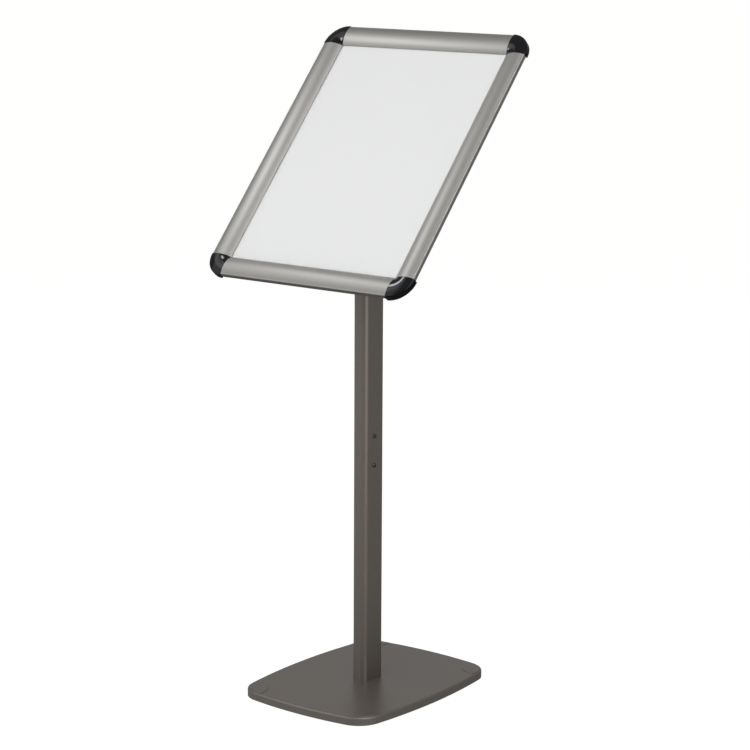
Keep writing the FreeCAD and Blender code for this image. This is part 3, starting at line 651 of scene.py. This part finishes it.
class SIGNSTAND_OT_post(bpy.types.Operator):
    """Two lengths of post with a rounded front, the upper one cut off at the slope of the sign"""

    bl_idname = "sign_stand.post"
    bl_label = "Post"

    def execute(self, context):
        low = levels("post_lower")[0]
        high = levels("post_upper")[0] - SEAM
        lower = tube("lower_post_tube", low, high)
        edit(lower)
        round_edges(lower, SEAM_ROUND, 2, lambda e: at_level(e, high) and is_sharp(e))
        finish(lower, graphite_paint(), "stand", "graphite_paint", "post_lower")

        low, high = levels("post_upper")
        mitre = PIVOT + NORMAL * (span("head_casting", NORMAL)[1] - settings().mount.head_thick)
        upper = tube("upper_post_tube", low, high + SPARE)
        edit(upper)
        all_of_it()
        bpy.ops.mesh.bisect(plane_co=mitre, plane_no=NORMAL, clear_outer=True)
        choose(upper, "EDGE", lambda e: len(e.link_faces) == 1)
        bpy.ops.mesh.bridge_edge_loops()
        outward()
        round_edges(upper, SEAM_ROUND, 2, lambda e: at_level(e, low) and is_sharp(e))
        finish(upper, graphite_paint(), "stand", "graphite_paint", "post_upper")
        return {"FINISHED"}


class SIGNSTAND_OT_head(bpy.types.Operator):
    """Die-cast head: a sloping face on a plug that fills the top of the post"""

    bl_idname = "sign_stand.head"
    bl_label = "Head Casting"

    def execute(self, context):
        sizes = settings().mount
        front = span("head_casting", NORMAL)[1]
        back = front - sizes.head_thick
        half_x = span("head_casting", ACROSS)[1]
        half_y = span("head_casting", SLOPE)[1]
        face = rounded_plate("head_face_and_plug", (-half_x, -half_y, back),
                             (half_x, half_y, front), sizes.head_corner, edge=0.8 * MM)
        placed(face, SIGN_PLACE)
        low, high = levels("head_casting")
        plug = post_block("head_plug", sizes.post_wall + sizes.plug_gap, low, high)
        all_of_it()
        bpy.ops.mesh.bisect(plane_co=PIVOT + NORMAL * (back + OVERLAP), plane_no=NORMAL,
                            clear_outer=True, use_fill=True)
        outward()
        combine(face, plug, "UNION")
        finish(face, graphite_paint(), "stand", "graphite_paint", "head_casting")
        return {"FINISHED"}


# ---- screws and rivets
def button(name, head_radius, head, shank_radius, shank, socket):
    """A domed head on +Z with its underside at 0, a shank below, and a hex socket if it has one."""
    piece = disc(name, head_radius, 0, head, vertices=48)
    edit(piece)
    round_edges(piece, 0.65 * head, 5, lambda e: at_level(e, head))
    combine(piece, disc("shank", shank_radius, -shank, 0.2 * head, vertices=32), "UNION")
    if socket:
        combine(piece, disc("socket", socket, 0.45 * head, 2 * head, vertices=6), "DIFFERENCE")
        edit(piece)
        round_edges(piece, 0.08 * head, 2,
                    lambda e: at_level(e, head) and is_sharp(e)
                    and e.verts[0].co.xy.length < 1.01 * socket)
    alone(piece)
    return piece


def set_buttons(pattern, name, places, material, body, slot):
    """Copy a modelled screw or rivet to each of its places."""
    for number, place in enumerate(places, 1):
        screw = placed(copied(pattern, f"{name}_{number}"), place)
        finish(screw, material, body, slot, name + "s")
    discard(pattern)


def facing(point, direction):
    """A place at a point with its own Z along a direction."""
    return Matrix.Translation(point) @ direction.to_track_quat("Z", "Y").to_matrix().to_4x4()


def four(x, y, n):
    """Places on the back of the sign, one in each quarter, that point away from its face."""
    turn = Matrix.Rotation(math.pi, 4, "X")
    return [SIGN_PLACE @ Matrix.Translation((sx * x, sy * y, n)) @ turn
            for sx in (-1, 1) for sy in (-1, 1)]


class SIGNSTAND_OT_post_screws(bpy.types.Operator):
    """Button screws through the post into its joiner and into the head"""

    bl_idname = "sign_stand.post_screws"
    bl_label = "Post Screws"

    def execute(self, context):
        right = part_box("post_lower")[1].x
        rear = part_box("post_upper")[1].y
        for name, axis, wall in (("joiner_screw", 0, right), ("head_screw", 1, rear)):
            low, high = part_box(name + "s")
            radius = (high - low)[1 - axis] / 2
            head = high[axis] - wall
            shank = wall - low[axis]
            direction = Vector([(1, 0, 0), (0, 1, 0)][axis])
            point = (low + high) / 2
            point[axis] = wall
            places = [facing(Vector((point.x, point.y, z)), direction)
                      for z in (low.z + radius, high.z - radius)]
            pattern = button("button_screw", radius, head, 0.6 * radius, shank, 0.375 * radius)
            set_buttons(pattern, name, places, black_oxide(), "stand", "blackened_screws")
        return {"FINISHED"}


# Radii of head, shank and socket; a rivet has no socket.
PLATE_SCREW = (4.5 * MM, 2.5 * MM, 1.5 * MM)
BAR_RIVET = (4 * MM, 2 * MM, 0)
CORNER_SCREW = (2.8 * MM, 1.5 * MM, 1.2 * MM)
KEY_SCREW_IN = 22 * MM  # a corner screw from the end of the cap


class SIGNSTAND_OT_sign_screws(bpy.types.Operator):
    """Screws of the corner keys and the turn plate, and the rivets of the cross bars"""

    bl_idname = "sign_stand.sign_screws"
    bl_label = "Sign Screws and Rivets"

    def execute(self, context):
        def put_in(name, radii, seat, tip, places):
            """Heads stand behind the seat, and shanks reach forward to the tip."""
            head = seat - span(name + "s", NORMAL)[0]
            pattern = button(name, radii[0], head, radii[1], tip - seat, radii[2])
            set_buttons(pattern, name, places, zinc_plate(), "sign_frame", "zinc_plated_steel")

        def outermost(node, radius, seat):
            return four(span(node, ACROSS)[1] - radius, span(node, SLOPE)[1] - radius, seat)

        plate = span("turn_plate", NORMAL)[0]
        put_in("plate_screw", PLATE_SCREW, plate, 0,
               outermost("plate_screws", PLATE_SCREW[0], plate))

        bar = span("cross_bars", NORMAL)[0]
        put_in("bar_rivet", BAR_RIVET, bar, span("bar_rivets", NORMAL)[1],
               outermost("bar_rivets", BAR_RIVET[0], bar))

        near = HALF_WIDTH - span("corner_screws", ACROSS)[1] + CORNER_SCREW[0]
        along = settings().sign.rail_width + KEY_SCREW_IN
        put_in("corner_screw", CORNER_SCREW, 0, span("corner_screws", NORMAL)[1],
               four(HALF_WIDTH - near, HALF_HEIGHT - along, 0)
               + four(HALF_WIDTH - along, HALF_HEIGHT - near, 0))
        return {"FINISHED"}


# ---- behind the sign
class SIGNSTAND_OT_cross_bars(bpy.types.Operator):
    """Two flat bars across the back of the sign"""

    bl_idname = "sign_stand.cross_bars"
    bl_label = "Cross Bars"

    def execute(self, context):
        sizes = settings().mount
        back, front = span("cross_bars", NORMAL)
        half_x = span("cross_bars", ACROSS)[1]
        outer = span("cross_bars", SLOPE)[1]
        lower = rounded_plate("cross_bar_lower", (-half_x, -outer, back),
                              (half_x, sizes.bar_width - outer, front), sizes.bar_corner,
                              edge=0.4 * MM)
        upper = copied(lower, "cross_bar_upper")
        lift = Matrix.Translation((0, 2 * outer - sizes.bar_width, 0))
        placed(lower, SIGN_PLACE)
        placed(upper, SIGN_PLACE @ lift)
        for bar in (lower, upper):
            finish(bar, anodised_aluminium("across"), "sign_frame", "satin_aluminium", "cross_bars")
        return {"FINISHED"}


PIVOT_HOLE = 5.05 * MM  # radius of the hole for the pivot bolt
SLOT_HALF = 3.3 * MM  # half the width of the stop slot
STOP_GAP = 0.3 * MM  # slot past the stop pin at both ends
STOP_AT = math.radians(135)  # direction of the stop pin


class SIGNSTAND_OT_turn_plate(bpy.types.Operator):
    """Square plate behind the sign, with the pivot hole and the slot that stops its turn"""

    bl_idname = "sign_stand.turn_plate"
    bl_label = "Turn Plate"

    def execute(self, context):
        sizes = settings().mount
        back, front = span("turn_plate", NORMAL)
        half = span("turn_plate", ACROSS)[1]
        plate = rounded_plate("turn_plate_body", (-half, -half, back), (half, half, front),
                              sizes.plate_corner, edge=0.5 * MM)
        combine(plate, disc("pivot_hole", PIVOT_HOLE, back - MM, front + MM), "DIFFERENCE")

        def ray(angle, arm):
            return Vector((math.cos(angle), math.sin(angle))) * arm

        slack = STOP_GAP / sizes.stop_arm
        end = STOP_AT + slack
        start = end - math.radians(TURN_JOINT["range_deg"][1]) - 2 * slack
        inner, outer = sizes.stop_arm - SLOT_HALF, sizes.stop_arm + SLOT_HALF
        cap = SLOT_HALF / sizes.stop_arm
        middle = (start + end) / 2
        slot = trace("stop_slot", [
            ray(start, outer),
            (ray(middle, outer), ray(end, outer), 24),
            (ray(end + cap, sizes.stop_arm), ray(end, inner), 10),
            (ray(middle, inner), ray(start, inner), 24),
            (ray(start - cap, sizes.stop_arm), ray(start, outer), 10)], at_height(back - MM))
        push(0, 0, front - back + 2 * MM)
        outward()
        combine(plate, slot, "DIFFERENCE")
        placed(plate, SIGN_PLACE)
        finish(plate, graphite_paint(), "sign_frame", "graphite_paint", "turn_plate")
        return {"FINISHED"}


# ---- snap rails and back profiles
CROWN_SHARE = 0.47  # where a rail's dome is highest, as a share of its width
LIP_ROUND = 0.8 * MM  # reach of the round on a rail's inner edge
LIP_GAP = 0.3 * MM  # between the cover sheet and the rails' inner edge
HINGE_PLAY = 0.05 * MM  # round the hinge bead in its socket
GUIDE = (5.4 * MM, 6.4 * MM)  # the guide rib's two faces
RIB = 1.2 * MM  # the panel stop's wall
SHEET_LAP = 9 * MM  # sheets under a rail
SHEET_GAP = 0.4 * MM  # between the sheets and the panel stop
LEDGE_BACK = 2 * MM  # the ledge behind the rail's inner edge
LEAF_GAP = 0.8 * MM  # between a leaf spring and the ribs beside it
LEAF_THICK = 0.5 * MM


def side_direction(side):
    return ACROSS if side in ("top", "bottom") else SLOPE


def side_place(side):
    """From a bar drawn along X with its outer edge at y = 0 to its side of the sign."""
    distance = HALF_HEIGHT if side in ("top", "bottom") else HALF_WIDTH
    turn = Matrix.Rotation(math.radians(SIDES[side]), 4, "Z")
    return SIGN_PLACE @ turn @ Matrix.Translation((0, -distance, 0))


def bar_along(name, moves, half):
    """Extrude a section drawn as (inwards, forwards) along X, as long both ways from 0."""
    piece = trace(name, moves, lambda p: Vector((-half, p.x, p.y)))
    push(2 * half, 0, 0)
    outward()
    return piece


def set_bars(name, family, body, section, soften=None):
    """Model the bars of the bottom and the right side, and copy each to the side across from it."""
    for first, second, grain in (("bottom", "top", "across"), ("right", "left", "upslope")):
        low, high = span(f"{family}_{first}", side_direction(first))
        half = (high - low) / 2
        bar = bar_along(f"{name}_{first}", section, half)
        if soften:
            soften(bar, half)
        other = copied(bar, f"{name}_{second}")
        for piece, side in ((bar, first), (other, second)):
            placed(piece, side_place(side))
            finish(piece, anodised_aluminium(grain), body.format(side=side), "satin_aluminium",
                   f"{family}_{side}")


def hinge_point(radius, degrees):
    sizes = settings().sign
    turn = math.radians(degrees)
    return Vector((sizes.hinge_inset + radius * math.cos(turn),
                   sizes.hinge_height + radius * math.sin(turn)))


def lip_height():
    return span("cover_sheet", NORMAL)[1] + LIP_GAP


def panel_stop():
    """The panel stop's outer face, from the sign's outer edge."""
    return settings().sign.rail_width - SHEET_LAP - SHEET_GAP - RIB


def rail_section():
    """Outline of a snap rail: side, dome, inner lip, hollow under the dome and hinge bead."""
    s = settings().sign
    width, wall, edge, lip, bead = s.rail_width, s.rail_wall, s.rail_edge, s.rail_lip, s.bead
    crown = CROWN_SHARE * width
    shoulder = s.rail_side + 0.75 * edge
    return [
        (0, s.hinge_height),
        (0, s.rail_side),
        ((0.25 * edge, s.rail_side + 0.55 * edge), (edge, shoulder), 5),
        ((crown, s.rail_crown), (width - LIP_ROUND, lip), 28),
        ((width - 0.15 * MM, lip - 0.45 * MM), (width, lip - 1.2 * MM), 3),
        (width - 0.5 * MM, lip_height()),
        (width - wall - 0.2 * MM, lip_height()),
        (width - wall - 0.6 * MM, lip - wall - 0.2 * MM),
        ((crown, s.rail_crown - wall), (wall + 0.7 * MM, shoulder - wall), 20),
        (wall, s.rail_side - MM),
        (wall, s.hinge_height + 1.9 * bead),
        hinge_point(bead, 120),
        (hinge_point(bead, 0), hinge_point(bead, 240), 16),
        (hinge_point(bead, 210), hinge_point(bead, 180), 4),
        (0, s.hinge_height),
    ]


def soften_ends(rail, half):
    """Take the sharp edge off the two ends of a rail's face."""
    lip = lip_height()

    def on_face_end(edge):
        return (all(abs(abs(v.co.x) - half) < WELD and v.co.z > lip for v in edge.verts)
                and is_sharp(edge)
                and any(f.normal.z > 0.2 and abs(f.normal.x) < 0.5 for f in edge.link_faces))

    round_edges(rail, 0.15 * MM, 2, on_face_end)


class SIGNSTAND_OT_rails(bpy.types.Operator):
    """Four snap rails with a domed face, each hinged along its outer edge"""

    bl_idname = "sign_stand.rails"
    bl_label = "Snap Rails"

    def execute(self, context):
        set_bars("domed_rail", "snap_rail", "rail_{side}", rail_section(), soften_ends)
        return {"FINISHED"}


def back_section():
    """Outline of a back profile: hinge socket, guide rib, panel stop and the ledge under it."""
    s = settings().sign
    wall = s.back_wall
    socket = s.bead + HINGE_PLAY
    outer = socket + MM
    meet = math.degrees(math.asin((wall - s.hinge_height) / outer))
    guide_top = s.hinge_height + socket
    stop = panel_stop()
    ledge = s.rail_width - LEDGE_BACK
    return [
        hinge_point(outer, meet),
        (GUIDE[0], wall), (GUIDE[0], guide_top), (GUIDE[1], guide_top), (GUIDE[1], wall),
        (stop, wall), (stop, lip_height()), (stop + RIB, lip_height()), (stop + RIB, wall),
        (ledge, wall), (ledge, 0),
        (s.hinge_inset, 0), (s.hinge_inset, s.hinge_height - socket),
        (hinge_point(socket, 0), hinge_point(socket, 100), 12),
        hinge_point(outer, 100),
        (hinge_point(outer, 30), hinge_point(outer, meet), 10),
    ]


class SIGNSTAND_OT_back_profiles(bpy.types.Operator):
    """Four extruded profiles that hold the panel and the rails' hinges"""

    bl_idname = "sign_stand.back_profiles"
    bl_label = "Back Profiles"

    def execute(self, context):
        set_bars("socket_profile", "back_profile", "sign_frame", back_section())
        return {"FINISHED"}


class SIGNSTAND_OT_springs(bpy.types.Operator):
    """Bowed leaf springs, two under each rail"""

    bl_idname = "sign_stand.springs"
    bl_label = "Leaf Springs"

    def execute(self, context):
        s = settings().sign
        low = s.back_wall
        top = low + s.leaf_rise
        outer = GUIDE[1] + LEAF_GAP
        inner = panel_stop() - LEAF_GAP
        middle = (outer + inner) / 2
        leaf = bar_along("leaf", [
            (outer, low),
            ((middle, top), (inner, low), 20),
            (inner, low + LEAF_THICK),
            ((middle, top + LEAF_THICK), (outer, low + LEAF_THICK), 20),
            (outer, low)], s.leaf_width / 2)
        round_edges(leaf, 2 * MM, 4, lambda e: is_along(e, UP) and is_sharp(e))
        for side in SIDES:
            out = span("rail_springs_" + side, side_direction(side))[1] - s.leaf_width / 2
            for number, sign in enumerate((-1, 1), 1):
                spring = copied(leaf, f"leaf_{side}_{number}")
                placed(spring, side_place(side) @ Matrix.Translation((sign * out, 0, 0)))
                finish(spring, spring_steel(), "sign_frame", "spring_steel", "rail_springs_" + side)
        discard(leaf)
        return {"FINISHED"}


# ---- corner caps
class SIGNSTAND_OT_caps(bpy.types.Operator):
    """Four corner caps: the rail's dome carried round the corner in one smooth quarter turn"""

    bl_idname = "sign_stand.caps"
    bl_label = "Corner Caps"

    def execute(self, context):
        s = settings().sign
        side, rise, wall = -s.cap_side, s.cap_rise, s.cap_wall
        width, edge, lip = s.rail_width, s.rail_edge, s.rail_lip
        crown = CROWN_SHARE * width
        above_key = span("corner_key_bl", NORMAL)[1] + 0.1 * MM
        section = [
            (side, 0),
            (side, s.rail_side),
            ((side + 0.25 * edge, s.rail_side + 0.62 * edge),
             (side + edge, s.rail_side + 0.75 * edge + rise), 6),
            ((crown, s.rail_crown + rise), (width - LIP_ROUND, lip + rise), 28),
            (width, lip + rise - 0.1 * MM),
            (width, above_key),
            (0.85 * width, lip + 0.6 * MM),
            ((crown, s.rail_crown - wall + 0.4 * MM), (edge + 0.8 * MM, s.rail_side), 16),
            (side + wall, s.rail_side - MM),
            (side + wall, 0),
            (side, 0),
        ]
        cap = trace("quarter_cap", section, lambda p: Vector((width, p.x, p.y)))
        bpy.ops.mesh.spin(steps=36, angle=math.pi / 2, center=(width, width, 0), axis=UP)
        all_of_it()
        bpy.ops.mesh.dissolve_degenerate(threshold=WELD)
        outward()

        def beside_rail(edge):
            return (is_sharp(edge) and min(v.co.z for v in edge.verts) > lip
                    and any(0.2 < f.normal.z < 0.999 for f in edge.link_faces)
                    and any(all(abs(v.co[axis] - width) < WELD for v in edge.verts)
                            for axis in (0, 1)))

        round_edges(cap, 0.25 * MM, 3, beside_rail)
        for corner, degrees in CORNERS.items():
            half_x, half_y = HALF_WIDTH, HALF_HEIGHT
            if degrees in (90, 270):
                half_x, half_y = half_y, half_x
            turn = Matrix.Rotation(math.radians(degrees), 4, "Z")
            piece = copied(cap, "plated_cap_" + corner)
            placed(piece, SIGN_PLACE @ turn @ Matrix.Translation((-half_x, -half_y, 0)))
            finish(piece, black_chrome(), "sign_frame", "black_chrome", "corner_cap_" + corner)
        discard(cap)
        return {"FINISHED"}


# ---- sheets
def sheet_of(name, node, corner):
    """A thin sheet with rounded corners that fills a CAD sheet's place."""
    back, front = span(node, NORMAL)
    alone()
    bpy.ops.mesh.primitive_plane_add(size=2, location=(0, 0, front))
    bpy.context.object.scale = (span(node, ACROSS)[1], span(node, SLOPE)[1], 1)
    piece = named(name)
    edit(piece)
    bpy.ops.mesh.select_mode(type="VERT")
    all_of_it()
    bpy.ops.mesh.bevel(offset=corner, segments=6, affect="VERTICES")
    apply_modifier(piece, "SOLIDIFY", thickness=front - back - SEAM, offset=-1)
    return placed(piece, SIGN_PLACE)


class SIGNSTAND_OT_sheets(bpy.types.Operator):
    """Back panel, poster and clear cover sheet"""

    bl_idname = "sign_stand.sheets"
    bl_label = "Sheets"

    def execute(self, context):
        for name, node, corner, material, slot in (
                ("back_board", "back_panel", 2 * MM, panel_plastic, "panel_plastic"),
                ("poster_paper_sheet", "poster", 1 * MM, matt_paper, "poster_paper"),
                ("clear_cover_film", "cover_sheet", 2 * MM, clear_film, "clear_sheet")):
            finish(sheet_of(name, node, corner), material(), "sign_frame", slot, node)
        return {"FINISHED"}


# ---- parts that stay as they are
class SIGNSTAND_OT_inner_parts(bpy.types.Operator):
    """Finishes of the keys, washers, bolts, ballast and feet, whose CAD shapes are right"""

    bl_idname = "sign_stand.inner_parts"
    bl_label = "Inner Parts"

    def execute(self, context):
        finishes = {
            black_nylon: ["corner_key_" + corner for corner in CORNERS],
            natural_nylon: ["friction_washer"],
            spring_steel: ["spring_washer"],
            zinc_plate: ["pivot_bolt", "stop_pin", "base_bolts", "base_washers", "foot_spacer"],
            mill_aluminium: ["post_joiner", "foot_block"],
            black_paint: ["ballast_plate"],
            moulded_rubber: ["base_feet"],
        }
        for material, nodes in finishes.items():
            for node in nodes:
                for slot in frame["nodes"][node].material_slots:
                    slot.material = material()
        return {"FINISHED"}


# ---- stage
VIEW_AZIMUTH = math.radians(37.76)
VIEW_PITCH = math.radians(11.47)
VIEW_ROLL = math.radians(0.28)
VIEW_DISTANCE = 4.0207
VIEW_SIDE = 0.0128  # how far the line of sight passes beside the stand's middle
VIEW_HEIGHT = 0.5377  # height at which it passes
VIEW_LENS = 116.84  # millimetres, on a 36 mm square sensor
VIEW_SENSOR = 36
FLOOR_SIZE = 120
FLOOR_GLOW = 0.95  # makes the floor as pale as the backdrop

# Light that the room sends back, from below at 0 to overhead at 1. The line between the two
# leans to the left, which is the brighter side of the room.
ROOM_LEAN = math.radians(15)
ROOM_LIGHT = ((0, 0.15), (0.2, 0.13), (0.33, 0.09), (0.48, 0.21), (0.67, 0.21), (1, 0.28))

# What the lamps face.
SIGN_MIDDLE = PIVOT
NEAR_CORNER = PIVOT + ACROSS * 0.19 - SLOPE * 0.24
POST_MIDDLE = Vector((0, 0, 0.6))
POST_FOOT = Vector((0, 0, 0))


def lamp(name, azimuth, elevation, distance, size, watts, aim, glossy=True, diffuse=True):
    """An area lamp that faces a point, seen from that point at an azimuth and elevation."""
    side, up = math.radians(azimuth), math.radians(elevation)
    direction = Vector((math.sin(side) * math.cos(up), -math.cos(side) * math.cos(up),
                        math.sin(up)))
    data = bpy.data.lights.new(name, "AREA")
    data.shape = "RECTANGLE"
    data.size, data.size_y = size
    data.energy = watts
    made = bpy.data.objects.new(name, data)
    bpy.context.scene.collection.objects.link(made)
    made.location = aim + direction * distance
    made.rotation_euler = direction.to_track_quat("Z", "Y").to_euler()
    made.visible_camera = False
    made.visible_glossy = glossy
    made.visible_diffuse = diffuse


def room(scene, glow):
    """What reflections and soft light see of the room; the camera sees a plain pale backdrop."""
    world = bpy.data.worlds.new("studio")
    scene.world = world
    world.use_nodes = True
    tree = world.node_tree
    tree.nodes.clear()
    where = add(tree, "TexCoord")
    leaning = add(tree, "Mapping", {"Rotation": (0, ROOM_LEAN, 0)},
                  {"Vector": where.outputs["Generated"]})
    height = add(tree, "SeparateXYZ", (), {"Vector": leaning.outputs[0]})
    share = add(tree, "MapRange", {"From Min": -1, "From Max": 1},
                {"Value": height.outputs["Z"]})
    level = add(tree, "ValToRGB", (), {"Fac": share.outputs[0]})
    stops = level.color_ramp.elements
    while len(stops) < len(ROOM_LIGHT):
        stops.new(0.5)
    for stop, (place, light) in zip(stops, ROOM_LIGHT):
        stop.position = place
        stop.color = (light, light, light, 1)
    path = add(tree, "LightPath")
    tone = add(tree, "Mix", {"data_type": "RGBA", 7: glow},
               {0: path.outputs["Is Camera Ray"], 6: level.outputs[0]})
    sky = add(tree, "Background", {"Strength": 1}, {"Color": tone.outputs[2]})
    output = add(tree, "OutputWorld")
    tree.links.new(sky.outputs[0], output.inputs["Surface"])


def view(scene):
    """The camera, looking past the post from the front and its right."""
    right = Vector((math.cos(VIEW_AZIMUTH), math.sin(VIEW_AZIMUTH), 0))
    ahead = Vector((-math.sin(VIEW_AZIMUTH) * math.cos(VIEW_PITCH),
                    math.cos(VIEW_AZIMUTH) * math.cos(VIEW_PITCH), -math.sin(VIEW_PITCH)))
    turned = Matrix((right, right.cross(ahead), -ahead)).transposed().to_4x4()
    spot = Vector((0, 0, VIEW_HEIGHT)) + right * VIEW_SIDE - ahead * VIEW_DISTANCE
    data = bpy.data.cameras.new("camera")
    data.lens = VIEW_LENS
    data.sensor_width = VIEW_SENSOR
    data.clip_end = 2 * FLOOR_SIZE
    camera = bpy.data.objects.new("camera", data)
    scene.collection.objects.link(camera)
    camera.matrix_world = Matrix.Translation(spot) @ turned @ Matrix.Rotation(VIEW_ROLL, 4, "Z")
    scene.camera = camera


class SIGNSTAND_OT_stage(bpy.types.Operator):
    """Pale floor, soft lamps and the camera"""

    bl_idname = "sign_stand.stage"
    bl_label = "Stage"

    def execute(self, context):
        context.scene.view_settings.view_transform = "Standard"
        alone()
        bpy.ops.mesh.primitive_plane_add(size=FLOOR_SIZE)
        floor = named("studio_floor")
        glow = opaque(settings().colours.floor)
        floor.data.materials.append(surface(
            "studio_floor", linear("8A8A8A"),
            {"Roughness": 0.9, "Emission Color": glow, "Emission Strength": FLOOR_GLOW},
            (400, 400, 400), tone=0.02))
        floor.visible_glossy = False
        room(context.scene, glow)
        lamp("key_softbox", -60, 43, 2.5, (1.6, 1.0), 3.3, SIGN_MIDDLE)
        lamp("near_spot", -79, 48, 0.9, (0.18, 0.10), 0.5, NEAR_CORNER, diffuse=False)
        lamp("broad_softbox", -45, 20, 2.5, (2.0, 2.6), 7, SIGN_MIDDLE)
        lamp("overhead_softbox", 40, 63, 2.2, (0.9, 0.9), 2.7, SIGN_MIDDLE)
        lamp("rim_softbox", 62, 49, 1.8, (0.35, 0.35), 4.5, SIGN_MIDDLE, diffuse=False)
        lamp("side_panel", 80, 16, 2.3, (2.6, 3.0), 16, POST_MIDDLE, diffuse=False)
        lamp("low_back_panel", -150, 22, 1.7, (1.2, 0.5), 0.35, POST_FOOT, diffuse=False)
        lamp("front_fill", 10, 27, 3.0, (2.6, 2.2), 46, SIGN_MIDDLE, glossy=False)
        view(context.scene)
        return {"FINISHED"}


# ---- add-on
OPERATORS = (
    SIGNSTAND_OT_base, SIGNSTAND_OT_post, SIGNSTAND_OT_head, SIGNSTAND_OT_post_screws,
    SIGNSTAND_OT_cross_bars, SIGNSTAND_OT_turn_plate, SIGNSTAND_OT_back_profiles,
    SIGNSTAND_OT_springs, SIGNSTAND_OT_sign_screws, SIGNSTAND_OT_rails, SIGNSTAND_OT_caps,
    SIGNSTAND_OT_sheets, SIGNSTAND_OT_inner_parts, SIGNSTAND_OT_stage,
)


class SIGNSTAND_PT_panel(bpy.types.Panel):
    """Sizes, colours and the steps that build the sign stand"""

    bl_idname = "SIGNSTAND_PT_panel"
    bl_label = "Sign Stand"
    bl_space_type = "VIEW_3D"
    bl_region_type = "UI"
    bl_category = "Sign Stand"

    def draw(self, context):
        for group in (settings().sign, settings().mount, settings().base, settings().colours):
            column = self.layout.column(align=True)
            for name in group.__annotations__:
                column.prop(group, name)
        for operator in OPERATORS:
            self.layout.operator(operator.bl_idname)


CLASSES = (SignFrameSizes, MountSizes, BaseSizes, FinishColours, SignStandSettings,
           *OPERATORS, SIGNSTAND_PT_panel)


def register():
    for cls in CLASSES:
        bpy.utils.register_class(cls)
    bpy.types.Scene.sign_stand = PointerProperty(type=SignStandSettings)


def unregister():
    del bpy.types.Scene.sign_stand
    for cls in reversed(CLASSES):
        bpy.utils.unregister_class(cls)


def main():
    register()
    for operator in OPERATORS:
        getattr(bpy.ops.sign_stand, operator.bl_idname.split(".")[1])()


if __name__ == "__main__":
    main()
